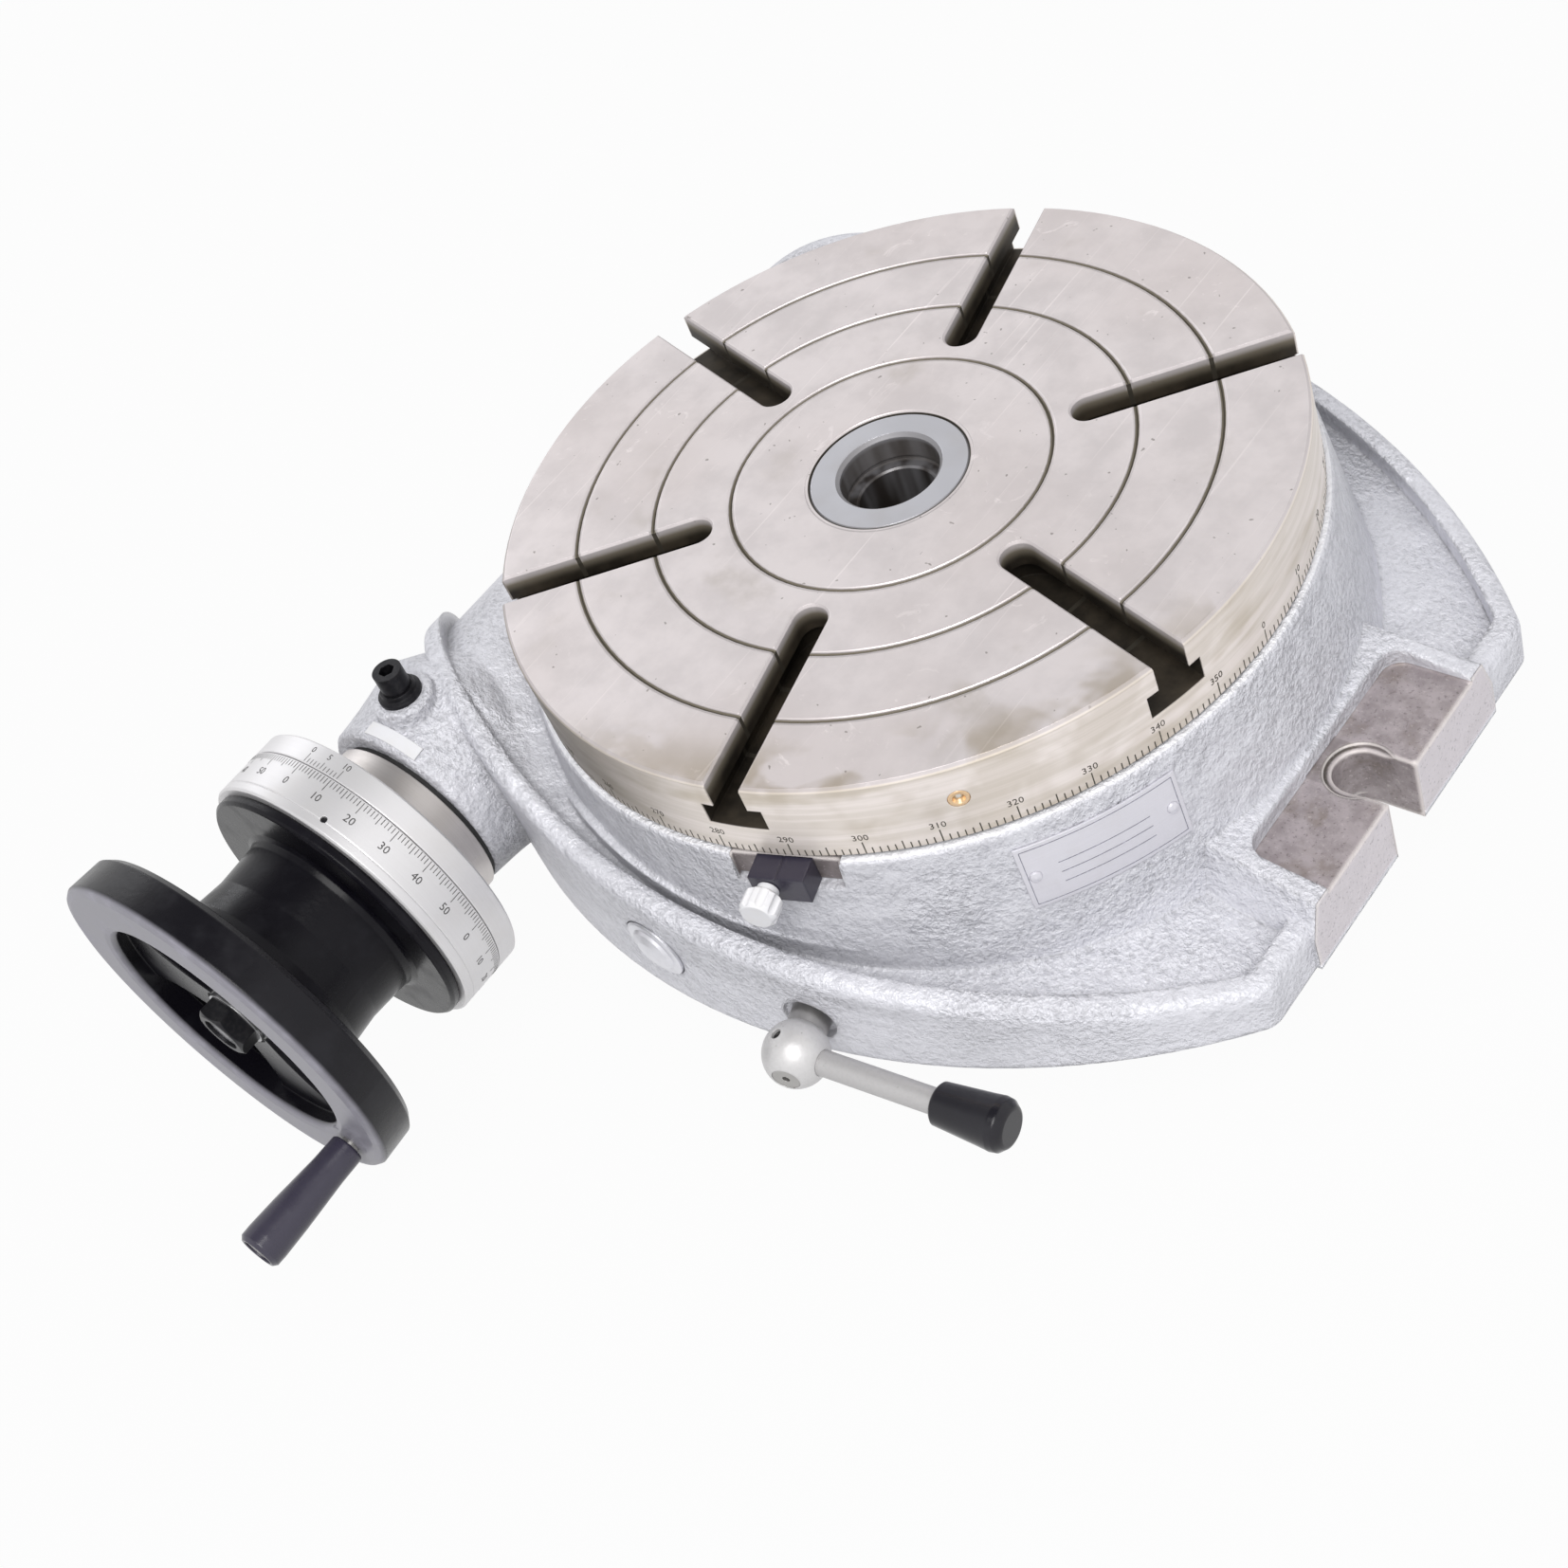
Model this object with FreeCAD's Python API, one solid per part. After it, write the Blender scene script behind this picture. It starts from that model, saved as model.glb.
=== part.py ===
import FreeCAD, Part
import math
import os

# Horizontal rotary indexing table with a worm drive.
# Millimetres. Z is the table axis and points up, the floor face of the base is z = 0,
# +X points to the hold-down lug and the handwheel end of the worm points along -Y.

Vector = FreeCAD.Vector
Z_AXIS = Vector(0, 0, 1)
Y_AXIS = Vector(0, 1, 0)
X_AXIS = Vector(1, 0, 0)
ORIGIN = Vector(0, 0, 0)

# Overall sizes
overall_height = 123.0
table_radius = 160.0
table_side = 36.2
way_height = overall_height - table_side
face_gap = 0.05
running_gap = 0.05
screw_gap = 0.1

# Table top
table_chamfer = 1.5
slot_count = 6
slot_phase_deg = -16.0
slot_width = 14.0
slot_throat = 11.5
slot_head_width = 24.5
slot_head_height = 10.5
slot_lip = 0.9
slot_end_radius = 79.0
groove_radii = (64.0, 96.0, 128.0)
groove_width = 1.6
groove_depth = 1.1
spigot_radius = 48.0
spigot_bottom = 11.0
wheel_seat_radius = 104.0
way_inner_radius = 129.5
way_outer_radius = 157.5
scale_land_step = 0.5

# Centre sleeve with the locating bore and the taper bore
sleeve_radius = 32.0
locate_radius = 20.0
locate_depth = 11.0
relief_radius = 20.8
relief_width = 2.2
taper_major_radius = 15.65
taper_on_diameter = 1 / 19.254

# Worm pair
module = 2.75
wheel_teeth = 90
worm_pitch_radius = 16.75
wheel_face = 26.0
wheel_bore_radius = 72.0
pressure_angle = math.radians(20)
mesh_backlash = 0.36
addendum = module
dedendum = 1.2 * module
wheel_pitch_radius = module * wheel_teeth / 2
worm_lead = math.pi * module
worm_x = -(wheel_pitch_radius + worm_pitch_radius)
worm_z = 50.0
worm_thread_length = 54.0

# Eccentric sleeve that carries the worm
eccentricity_x = -2.5
eccentricity_z = 2.5
carrier_radius = 28.0
carrier_bore = 20.2
carrier_front_bore = 17.0
carrier_rear = 92.0
carrier_flange_radius = 40.0
carrier_spigot_radius = 34.0
journal_radius = 12.5
rear_journal_radius = 11.0

# Stations along the worm, from the housing face to the handwheel
housing_face = -180.0
seal_thickness = 2.5
vernier_back = -199.0
dial_back = -209.3
dial_front = -230.0
hub_front = -277.5
rim_back = -280.0
rim_front = -300.0
worm_end = -299.6
dial_radius = 65.0
dial_hub_radius = 41.0
dial_flange_radius = 62.0
dial_flange = 5.0
dial_bore = 30.0
dial_gap = 0.3
key_width = 5.0
stub_radius = 10.0

# Handwheel and its handle
rim_radius = 81.0
rim_inner_radius = 56.0
spoke_width = 22.0
spoke_flare = 60.0
spoke_thickness = 9.0
spoke_recess = 8.0
spoke_count = 3
spoke_phase_deg = 41.5
nut_across_flats = 22.0
nut_height = 8.4
handle_angle_deg = -47.0
handle_circle = 66.5
grip_root_radius = 7.2
grip_end_radius = 9.3
grip_length = 53.0
stud_radius = 4.0

# Base casting
outline_half_depth = 181.4
outline_arc_radius = 280.0
outline_end = 203.0
outline_corner = 10.0
lug_face = 205.0
lug_half_width = 56.0
lug_skirt_half_width = 66.0
pad_height = 29.8
pad_inner = 172.0
pad_inner_under_barrel = 177.0
pad_half_width = 53.0
pad_corner = 8.0
hold_slot_width = 20.3
hold_slot_depth = 27.5
spot_face_radius = 13.0
spot_face_depth = 1.0
skirt_slope_deg = 10.2
skirt_height_at_centre = 57.0
skirt_edge_round = 5.0
rim_band = 9.0
pocket_depth = 9.0
collar_radius = 169.0
collar_height = 66.0
collar_round = 1.0
saddle_radius = 50.0
knee_ease = 14.0
drum_top_radius = 162.5
drum_draft_deg = 8.5
rim_height = way_height - 0.8
barrel_radius = 34.5
rear_barrel_radius = 31.5
rear_bore_radius = 24.0
rear_seat = 153.0
nozzle_radius = 42.5
boss_bore = spigot_radius + running_gap
boss_radius = 64.0
boss_top = 60.0
floor_thickness = 8.0
keyway_width = 18.0
keyway_depth = 5.0

# Table clamp with its ball lever
clamp_azimuth_deg = -72.5
clamp_height = 19.0
clamp_screw_radius = 8.0
clamp_tube_radius = 13.0
shoe_radius = 7.5
ball_radius = 13.0
ball_flat = 11.5
ball_station = 199.6
arm_radius = 5.0
arm_tilt_deg = 11.2
arm_length = 62.0
knob_length = 30.0
knob_root_radius = 8.2
knob_end_radius = 10.3

# Small parts on the housing
lock_screw_x = -141.0
lock_screw_y = -159.0
lock_boss_top = 102.0
lock_boss_radius = 13.0
sight_azimuth_deg = -94.8
sight_height = 30.0
sight_radius = 14.0
sight_groove = 0.6
pointer_azimuth_deg = -71.5
pointer_width = 22.0
pointer_height = 12.0
pointer_recess_width = 43.0
pointer_outer = 170.0
thumb_azimuth_deg = -73.0
thumb_radius = 7.3
thumb_length = 11.0
plate_azimuth_deg = -31.5
plate_width = 63.0
plate_low = 49.5
plate_high = 77.5
plate_thickness = 0.8
oiler_azimuth_deg = -46.3
oiler_height = 106.8
oiler_radius = 4.0


def polar(radius, azimuth_deg, z=0.0):
    """Point at a radius and azimuth about the table axis."""
    a = math.radians(azimuth_deg)
    return Vector(radius * math.cos(a), radius * math.sin(a), z)


def cylinder(radius, start, length, axis=Z_AXIS):
    """Cylinder from a start point along an axis."""
    return Part.makeCylinder(radius, length, start, axis)


def box(x0, x1, y0, y1, z0, z1):
    return Part.makeBox(x1 - x0, y1 - y0, z1 - z0, Vector(x0, y0, z0))


def solid_of(points):
    """Planar face through a closed list of points."""
    return Part.Face(Part.makePolygon(list(points) + [points[0]]))


def revolved(profile, centre=ORIGIN, axis=Z_AXIS):
    """Solid of revolution. The profile gives pairs of radius and station along the axis."""
    side = X_AXIS if abs(axis.dot(X_AXIS)) < 0.9 else Z_AXIS
    side = side - axis * side.dot(axis)
    side.normalize()
    points = [centre + side * r + axis * s for r, s in profile]
    return solid_of(points).revolve(centre, axis, 360)


def ring(inner, outer, s0, s1, centre=ORIGIN, axis=Z_AXIS):
    return revolved([(inner, s0), (outer, s0), (outer, s1), (inner, s1)], centre, axis)


def radial_axis(azimuth_deg):
    return polar(1.0, azimuth_deg)


def on_azimuth(shape, azimuth_deg):
    """Turn a shape drawn along +X to an azimuth."""
    turned = shape.copy()
    turned.rotate(ORIGIN, Z_AXIS, azimuth_deg)
    return turned


def hexagon(across_flats, start, length, axis=Z_AXIS):
    """Hexagonal prism for nut bodies and socket recesses."""
    side = X_AXIS if abs(axis.dot(X_AXIS)) < 0.9 else Z_AXIS
    side = side - axis * side.dot(axis)
    side.normalize()
    other = axis.cross(side)
    r = across_flats / math.sqrt(3)
    points = []
    for k in range(6):
        a = math.radians(60 * k)
        points.append(start + side * (r * math.cos(a)) + other * (r * math.sin(a)))
    return solid_of(points).extrude(axis * length)


def cap_screw(radius, head_radius, head_height, shank, socket, seat, axis):
    """Socket head screw. The head stands on the seat point, the shank goes along the axis."""
    head = cylinder(head_radius, seat - axis * head_height, head_height, axis)
    body = cylinder(radius, seat, shank, axis)
    recess = hexagon(socket, seat - axis * head_height, head_height * 0.6, axis)
    return head.fuse(body).cut(recess).removeSplitter()


def group(shapes):
    return Part.makeCompound(shapes)


worm_centre = Vector(worm_x, 0, worm_z)
above_all = worm_z + saddle_radius + 40
housing_x = worm_x + eccentricity_x
housing_z = worm_z + eccentricity_z
housing_centre = Vector(housing_x, 0, housing_z)
drum_slope = math.tan(math.radians(drum_draft_deg))
wheel_low = worm_z - wheel_face / 2
wheel_high = worm_z + wheel_face / 2
handle_x = worm_x + handle_circle * math.cos(math.radians(handle_angle_deg))
handle_z = worm_z + handle_circle * math.sin(math.radians(handle_angle_deg))
handle_centre = Vector(handle_x, 0, handle_z)
clamp_axis = radial_axis(clamp_azimuth_deg)
disc_bottom = 4.0
disc_radius = 60.0
wheel_screw_circle = 88.0
disc_screw_circle = 40.0
retainer_screws = 6


def drum_radius_at(z):
    """Outer radius of the drafted drum wall at a height."""
    return drum_top_radius + (rim_height - z) * drum_slope


def outline_face(inset=0.0):
    """Plan outline of the base: two long arcs, two flat ends, four rounded corners."""
    arc_r = outline_arc_radius - inset
    end = outline_end - inset
    depth = outline_half_depth - inset
    centre_y = outline_arc_radius - outline_half_depth
    corner_y = math.sqrt(arc_r ** 2 - end ** 2) - centre_y
    front = [Vector(-end, -corner_y, 0), Vector(0, -depth, 0), Vector(end, -corner_y, 0)]
    back = [Vector(end, corner_y, 0), Vector(0, depth, 0), Vector(-end, corner_y, 0)]
    edges = [
        Part.Arc(*front).toShape(),
        Part.makeLine(front[2], back[0]),
        Part.Arc(*back).toShape(),
        Part.makeLine(back[2], front[0]),
    ]
    return Part.Face(Part.Wire(edges))


def outline_prism(height, inset=0.0, corner=outline_corner):
    prism = outline_face(inset).extrude(Vector(0, 0, height))
    uprights = []
    for edge in prism.Edges:
        a, b = edge.Vertexes[0].Point, edge.Vertexes[-1].Point
        if abs(a.z - b.z) > height / 2:
            uprights.append(edge)
    return prism.makeFillet(corner, uprights)


def skirt_top_face(drop=0.0):
    """Side view of the skirt's top line: a long slope, then the saddle over the worm barrel."""
    slope = math.tan(math.radians(skirt_slope_deg))
    reach = outline_end + 20
    right = Vector(reach, 0, skirt_height_at_centre - slope * reach - drop)
    knee_x = -52.0
    knee = Vector(knee_x, 0, skirt_height_at_centre - slope * knee_x - drop)
    foot = Vector(-outline_end + 12, 0, pad_height + 6 - drop)
    saddle_start = saddle_touch(knee, 1, drop)
    saddle_end = saddle_touch(foot, -1, drop)
    saddle_top = Vector(worm_x, 0, worm_z + saddle_radius - drop)
    left = Vector(-reach, 0, pad_height - 2 - drop)
    bend = eased_corner(right, knee, saddle_start, knee_ease)
    edges = [
        Part.makeLine(right, bend[0]),
        Part.Arc(*bend).toShape(),
        Part.makeLine(bend[2], saddle_start),
        Part.Arc(saddle_start, saddle_top, saddle_end).toShape(),
        Part.makeLine(saddle_end, foot),
        Part.makeLine(foot, left),
        Part.makeLine(left, Vector(-reach, 0, -10)),
        Part.makeLine(Vector(-reach, 0, -10), Vector(reach, 0, -10)),
        Part.makeLine(Vector(reach, 0, -10), right),
    ]
    return Part.Face(Part.Wire(edges))


def eased_corner(before, corner, after, length):
    """Three points of the arc that eases a corner and touches both its lines."""
    come = corner - before
    leave = after - corner
    come.normalize()
    leave.normalize()
    half_turn = math.acos(come.dot(leave)) / 2
    inward = leave - come
    inward.normalize()
    depth = length / math.tan(half_turn) * (1 / math.cos(half_turn) - 1)
    return [corner - come * length, corner + inward * depth, corner + leave * length]


def saddle_touch(point, side, drop):
    """Where the tangent from a point meets the top of the round saddle over the worm axis."""
    centre = Vector(worm_x, 0, worm_z - drop)
    reach = point - centre
    a = math.atan2(reach.z, reach.x) + side * math.acos(saddle_radius / reach.Length)
    return centre + Vector(math.cos(a), 0, math.sin(a)) * saddle_radius


def below_top_line(drop=0.0):
    """Everything under the skirt's top line, as a long prism along Y."""
    width = 2 * outline_half_depth + 100
    side = skirt_top_face(drop)
    side.translate(Vector(0, -width / 2, 0))
    return side.extrude(Vector(0, width, 0))


def skirt():
    """Perimeter wall with a rounded top edge and the hollow between it and the drum."""
    body = outline_prism(above_all).common(below_top_line())
    top_edges = []
    for edge in body.Edges:
        box_of = edge.BoundBox
        on_wall = edge.Length > 20 and box_of.ZMin > 12
        spans = abs(edge.Vertexes[0].Point.x) < outline_end + 1
        if on_wall and spans and not vertical(edge) and not across(edge):
            top_edges.append(edge)
    body = body.makeFillet(skirt_edge_round, top_edges)
    hollow = outline_prism(above_all, rim_band, outline_corner - 2)
    hollow = hollow.cut(below_top_line(pocket_depth))
    body = body.cut(hollow)
    collar = cylinder(collar_radius, ORIGIN, collar_height).common(below_top_line())
    lip = [edge for edge in collar.Edges if edge.BoundBox.ZMin > 1 and not vertical(edge)]
    return body.fuse(collar.makeFillet(collar_round, lip))


def vertical(edge):
    a, b = edge.Vertexes[0].Point, edge.Vertexes[-1].Point
    return abs(a.z - b.z) > 1 and math.hypot(a.x - b.x, a.y - b.y) < 0.5


def across(edge):
    """True for an edge that crosses the casting from front to back."""
    a, b = edge.Vertexes[0].Point, edge.Vertexes[-1].Point
    return abs(a.x - b.x) < 0.5 and abs(a.y) > outline_corner + 60 and a.y * b.y < 0 and abs(a.x) < outline_end - 1


def drum():
    """Drafted round wall under the table, with a step and a flared foot in the hollow."""
    foot = 30.0
    profile = [
        (0, 0),
        (drum_radius_at(0), 0),
        (drum_radius_at(foot), foot),
        (drum_top_radius, rim_height - 1.5),
        (drum_top_radius - 1.2, rim_height),
        (way_outer_radius, rim_height),
        (way_outer_radius, way_height),
        (0, way_height),
    ]
    return revolved(profile)


def lug(side):
    """Hold-down lug with drafted sides and a sloped cast top."""
    slope = math.tan(math.radians(skirt_slope_deg))
    inner = drum_top_radius - 25
    low = [
        Vector(inner, -lug_skirt_half_width, 0),
        Vector(inner, lug_skirt_half_width, 0),
        Vector(inner, lug_skirt_half_width, 16),
        Vector(inner, lug_half_width, pad_height + 16),
        Vector(inner, -lug_half_width, pad_height + 16),
        Vector(inner, -lug_skirt_half_width, 16),
    ]
    body = solid_of(low).extrude(Vector(lug_face - inner, 0, 0))
    top_inner = pad_height + 1.8 + slope * (lug_face - inner)
    top = [
        Vector(inner - 5, -100, top_inner + 5 * slope),
        Vector(lug_face + 5, -100, pad_height + 1.8 - 5 * slope),
        Vector(lug_face + 5, -100, 100),
        Vector(inner - 5, -100, 100),
    ]
    body = body.cut(solid_of(top).extrude(Vector(0, 200, 0)))
    if side < 0:
        body.rotate(ORIGIN, Z_AXIS, 180)
    return body


def milled_pad(inner):
    """Tool for the flat seat of the hold-down nut on a lug."""
    tool = box(inner, lug_face + 10, -pad_half_width, pad_half_width, pad_height, pad_height + 60)
    corners = []
    for edge in tool.Edges:
        if vertical(edge) and edge.Vertexes[0].Point.x < inner + 1:
            corners.append(edge)
    return tool.makeFillet(pad_corner, corners)


def hold_down_slot():
    """Open ended slot for the hold-down bolt."""
    radius = hold_slot_width / 2
    centre_x = lug_face - hold_slot_depth + radius
    height = way_height
    slot = box(centre_x, lug_face + 10, -radius, radius, -1, height)
    slot = slot.fuse(cylinder(radius, Vector(centre_x, 0, -1), height + 1))
    seat = Vector(centre_x, 0, pad_height - spot_face_depth)
    return slot.fuse(cylinder(spot_face_radius, seat, height - pad_height))


def barrel():
    """Worm housing: a barrel through the casting with a nozzle at the handwheel end."""
    start = housing_face + 20
    body = revolved([
        (0, start),
        (barrel_radius, start),
        (barrel_radius, rear_seat - 22),
        (rear_barrel_radius, rear_seat - 10),
        (rear_barrel_radius, rear_seat),
        (0, rear_seat),
    ], housing_centre, Y_AXIS)
    profile = [
        (0, housing_face),
        (nozzle_radius - 1.5, housing_face),
        (nozzle_radius, housing_face + 1.5),
        (nozzle_radius + 1.5, housing_face + 16),
        (nozzle_radius + 5.0, housing_face + 38),
        (barrel_radius, housing_face + 62),
        (0, housing_face + 62),
    ]
    nozzle = revolved(profile, housing_centre, Y_AXIS)
    boss = cylinder(lock_boss_radius, Vector(lock_screw_x, lock_screw_y, housing_z), lock_boss_top - housing_z)
    rim = [edge for edge in boss.Edges if edge.BoundBox.ZMin > lock_boss_top - 1 and not vertical(edge)]
    boss = boss.makeFillet(2.0, rim[:1])
    return body.fuse(nozzle).fuse(boss)


def base_casting():
    body = skirt().fuse(drum())
    for side in (1, -1):
        body = body.fuse(lug(side))
    body = body.fuse(barrel())
    over_table = ring(0, drum_top_radius + 0.5, rim_height + 0.01, above_all)
    over_table = over_table.cut(cylinder(way_outer_radius, ORIGIN, way_height))
    body = body.cut(over_table).removeSplitter()
    boss_cavity = ring(boss_radius, way_inner_radius, floor_thickness, way_height + 1)
    centre_cavity = ring(0, boss_radius + 1, boss_top, way_height + 1)
    keep_tube = cylinder(clamp_tube_radius, clamp_axis * (boss_radius - 6) + Z_AXIS * clamp_height,
                         way_inner_radius - boss_radius + 12, clamp_axis)
    body = body.cut(boss_cavity.cut(keep_tube)).cut(centre_cavity)
    body = body.cut(cylinder(boss_bore, Vector(0, 0, -1), way_height))
    body = body.cut(cylinder(disc_radius + 2, Vector(0, 0, -1), spigot_bottom + 1 + face_gap))
    body = body.cut(worm_bore())
    body = body.cut(underside_relief())
    for side, inner in ((0, pad_inner), (180, pad_inner_under_barrel)):
        body = body.cut(on_azimuth(milled_pad(inner), side))
        body = body.cut(on_azimuth(hold_down_slot(), side))
        body = body.cut(on_azimuth(keyway(), side))
    body = body.cut(clamp_hole()).cut(sight_hole()).cut(pointer_recess())
    body = body.cut(cylinder(3.1, Vector(lock_screw_x, lock_screw_y, lock_boss_top - 14), 20))
    body = body.cut(group([rivet_hole(k) for k in (-1, 1)]))
    body = body.cut(group([cover_screw_hole(k) for k in range(4)]))
    body = body.cut(thumb_hole())
    return body.removeSplitter()


def worm_bore():
    """Bore for the carrier, a smaller one behind it, and the spot face of the rear cover."""
    clear = carrier_rear + 2
    return revolved([
        (0, housing_face - 1),
        (carrier_radius + running_gap, housing_face - 1),
        (carrier_radius + running_gap, clear),
        (rear_bore_radius, clear),
        (rear_bore_radius, rear_seat),
        (rear_barrel_radius + 1.5, rear_seat),
        (rear_barrel_radius + 1.5, rear_seat + 40),
        (0, rear_seat + 40),
    ], housing_centre, Y_AXIS)


def underside_relief():
    """Shallow relief that leaves an outer and an inner ring to stand on."""
    depth = 3.0
    inner_land = 14.0
    outer_land = 26.0
    relief = ring(disc_radius + 2 + inner_land, outline_half_depth - outer_land, -1, depth)
    arms = box(-pad_inner + 8, pad_inner - 8, -keyway_width, keyway_width, -1, depth + 1)
    return relief.cut(arms)


def keyway():
    """Slot for an alignment key, in line with the hold-down slots."""
    start = disc_radius + 20
    return box(start, lug_face + 5, -keyway_width / 2, keyway_width / 2, -1, keyway_depth)


def clamp_hole():
    """Hole for the clamp screw with a wider mouth in the skirt."""
    start = clamp_axis * (boss_bore - 4) + Z_AXIS * clamp_height
    hole = cylinder(clamp_screw_radius + running_gap, start, outline_half_depth, clamp_axis)
    mouth = cylinder(clamp_screw_radius + 3, clamp_axis * (skirt_station(clamp_azimuth_deg) - 3)
                     + Z_AXIS * clamp_height, 20, clamp_axis)
    return hole.fuse(mouth)


def skirt_station(azimuth_deg):
    """Radius of the skirt wall at an azimuth on the front side."""
    a = math.radians(azimuth_deg)
    centre_y = outline_arc_radius - outline_half_depth
    along = centre_y * math.sin(a)
    return along + math.sqrt(along ** 2 - centre_y ** 2 + outline_arc_radius ** 2)


def sight_hole():
    axis = radial_axis(sight_azimuth_deg)
    station = skirt_station(sight_azimuth_deg)
    seat = cylinder(sight_radius + sight_groove, axis * (station - 2.5) + Z_AXIS * sight_height, 10, axis)
    thread = cylinder(sight_radius - 4, axis * (station - 16) + Z_AXIS * sight_height, 18, axis)
    return seat.fuse(thread)


def pointer_recess():
    """Flat bottomed recess milled into the drum wall for the zero pointer."""
    low = rim_height - pointer_height
    half = pointer_recess_width / 2
    tool = box(way_outer_radius + 1.5, pointer_outer + 25, -half, half, low, rim_height + 10)
    return on_azimuth(tool, pointer_azimuth_deg)


def thumb_hole():
    axis = radial_axis(thumb_azimuth_deg)
    start = axis * (way_outer_radius - 8) + Z_AXIS * thumb_height()
    return cylinder(2.5 + screw_gap, start, 12, axis)


def thumb_height():
    return rim_height - pointer_height / 2


def table_top():
    """Table with its way, the seat of the worm wheel and the long spigot."""
    profile = [
        (sleeve_radius + face_gap, spigot_bottom),
        (spigot_radius - 1, spigot_bottom),
        (spigot_radius, spigot_bottom + 1),
        (spigot_radius, wheel_high),
        (wheel_seat_radius, wheel_high),
        (wheel_seat_radius, way_height),
        (table_radius - 1, way_height),
        (table_radius, way_height + 1),
        (table_radius, overall_height - table_chamfer),
        (table_radius - table_chamfer, overall_height),
        (sleeve_radius + face_gap, overall_height),
    ]
    body = revolved(profile)
    for radius in groove_radii:
        body = body.cut(groove(radius))
    for k in range(slot_count):
        body = body.cut(on_azimuth(tee_slot(), slot_phase_deg + 360 / slot_count * k))
    body = body.cut(oiler_hole())
    holes = [wheel_screw_hole(k) for k in range(retainer_screws)]
    holes += [disc_screw_hole(k) for k in range(retainer_screws)]
    holes += [wheel_dowel(k, screw_gap / 2) for k in range(2)]
    return body.cut(group(holes))


def groove(radius):
    half = groove_width / 2
    profile = [
        (radius - half, overall_height + 1),
        (radius - half, overall_height - groove_depth / 2),
        (radius, overall_height - groove_depth),
        (radius + half, overall_height - groove_depth / 2),
        (radius + half, overall_height + 1),
    ]
    return revolved(profile)


def tee_slot():
    """T-slot cutter path along +X: chamfered throat, wide head, round inner end."""
    top = overall_height
    deep = top - slot_throat - slot_head_height
    reach = table_radius + 5
    throat = slot_cutter(slot_width / 2, deep, top + 1, reach)
    head = slot_cutter(slot_head_width / 2, deep, top - slot_throat, reach)
    half = slot_width / 2
    lip = [
        Vector(slot_end_radius, -half - slot_lip - 1, top + 1),
        Vector(slot_end_radius, -half, top - slot_lip),
        Vector(slot_end_radius, half, top - slot_lip),
        Vector(slot_end_radius, half + slot_lip + 1, top + 1),
    ]
    chamfer = solid_of(lip).extrude(Vector(reach - slot_end_radius, 0, 0))
    end = revolved([(0, top - slot_lip), (half, top - slot_lip), (half + slot_lip + 1, top + 1), (0, top + 1)],
                   Vector(slot_end_radius, 0, 0))
    return throat.fuse(head).fuse(chamfer).fuse(end)


def slot_cutter(half, low, high, reach):
    run = box(slot_end_radius, reach, -half, half, low, high)
    return run.fuse(cylinder(half, Vector(slot_end_radius, 0, low), high - low))


def oiler_hole():
    axis = radial_axis(oiler_azimuth_deg)
    start = axis * (table_radius - 7) + Z_AXIS * oiler_height
    return cylinder(oiler_radius + face_gap, start, 10, axis)


def centre_sleeve():
    """Hardened sleeve with a locating bore, a relief and a taper bore."""
    relief_low = overall_height - locate_depth - relief_width
    taper_length = relief_low - spigot_bottom
    small = taper_major_radius - taper_length * taper_on_diameter / 2
    profile = [
        (small, spigot_bottom),
        (sleeve_radius - 1, spigot_bottom),
        (sleeve_radius, spigot_bottom + 1),
        (sleeve_radius, overall_height - 0.8),
        (sleeve_radius - 0.8, overall_height),
        (locate_radius + 1.5, overall_height),
        (locate_radius, overall_height - 1.5),
        (locate_radius, overall_height - locate_depth),
        (relief_radius, overall_height - locate_depth),
        (relief_radius, relief_low),
        (taper_major_radius + 0.8, relief_low),
        (taper_major_radius, relief_low - 0.8),
    ]
    return revolved(profile)


def involute_point(radius, base, half_angle_at_pitch, pitch):
    """Polar point of an involute flank that passes the pitch circle at a given half angle."""
    def roll(r):
        t = math.sqrt(max((r / base) ** 2 - 1, 0))
        return t - math.atan(t)
    return radius, half_angle_at_pitch - (roll(radius) - roll(pitch))


def wheel_profile(z, turn_deg):
    """Closed tooth outline of the worm wheel in the plane z, turned about the axis."""
    pitch = wheel_pitch_radius
    tip = pitch + addendum
    root = pitch - dedendum
    base = pitch * math.cos(pressure_angle)
    half_tooth = (math.pi * module / 2 - mesh_backlash) / 2 / pitch
    step = 2 * math.pi / wheel_teeth
    edges = []
    for k in range(wheel_teeth):
        centre = math.pi + (k + 0.5) * step + math.radians(turn_deg)
        flank = [involute_point(r, base, half_tooth, pitch) for r in (root, pitch - 0.2, tip)]
        rising = [place(r, centre - a, z) for r, a in flank]
        falling = [place(r, centre + a, z) for r, a in reversed(flank)]
        following = place(root, centre + step - flank[0][1], z)
        edges.append(Part.Arc(*rising).toShape())
        edges.append(Part.makeLine(rising[-1], falling[0]))
        edges.append(Part.Arc(*falling).toShape())
        edges.append(Part.makeLine(falling[-1], following))
    return Part.Wire(edges)


def place(radius, angle, z):
    return Vector(radius * math.cos(angle), radius * math.sin(angle), z)


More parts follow.
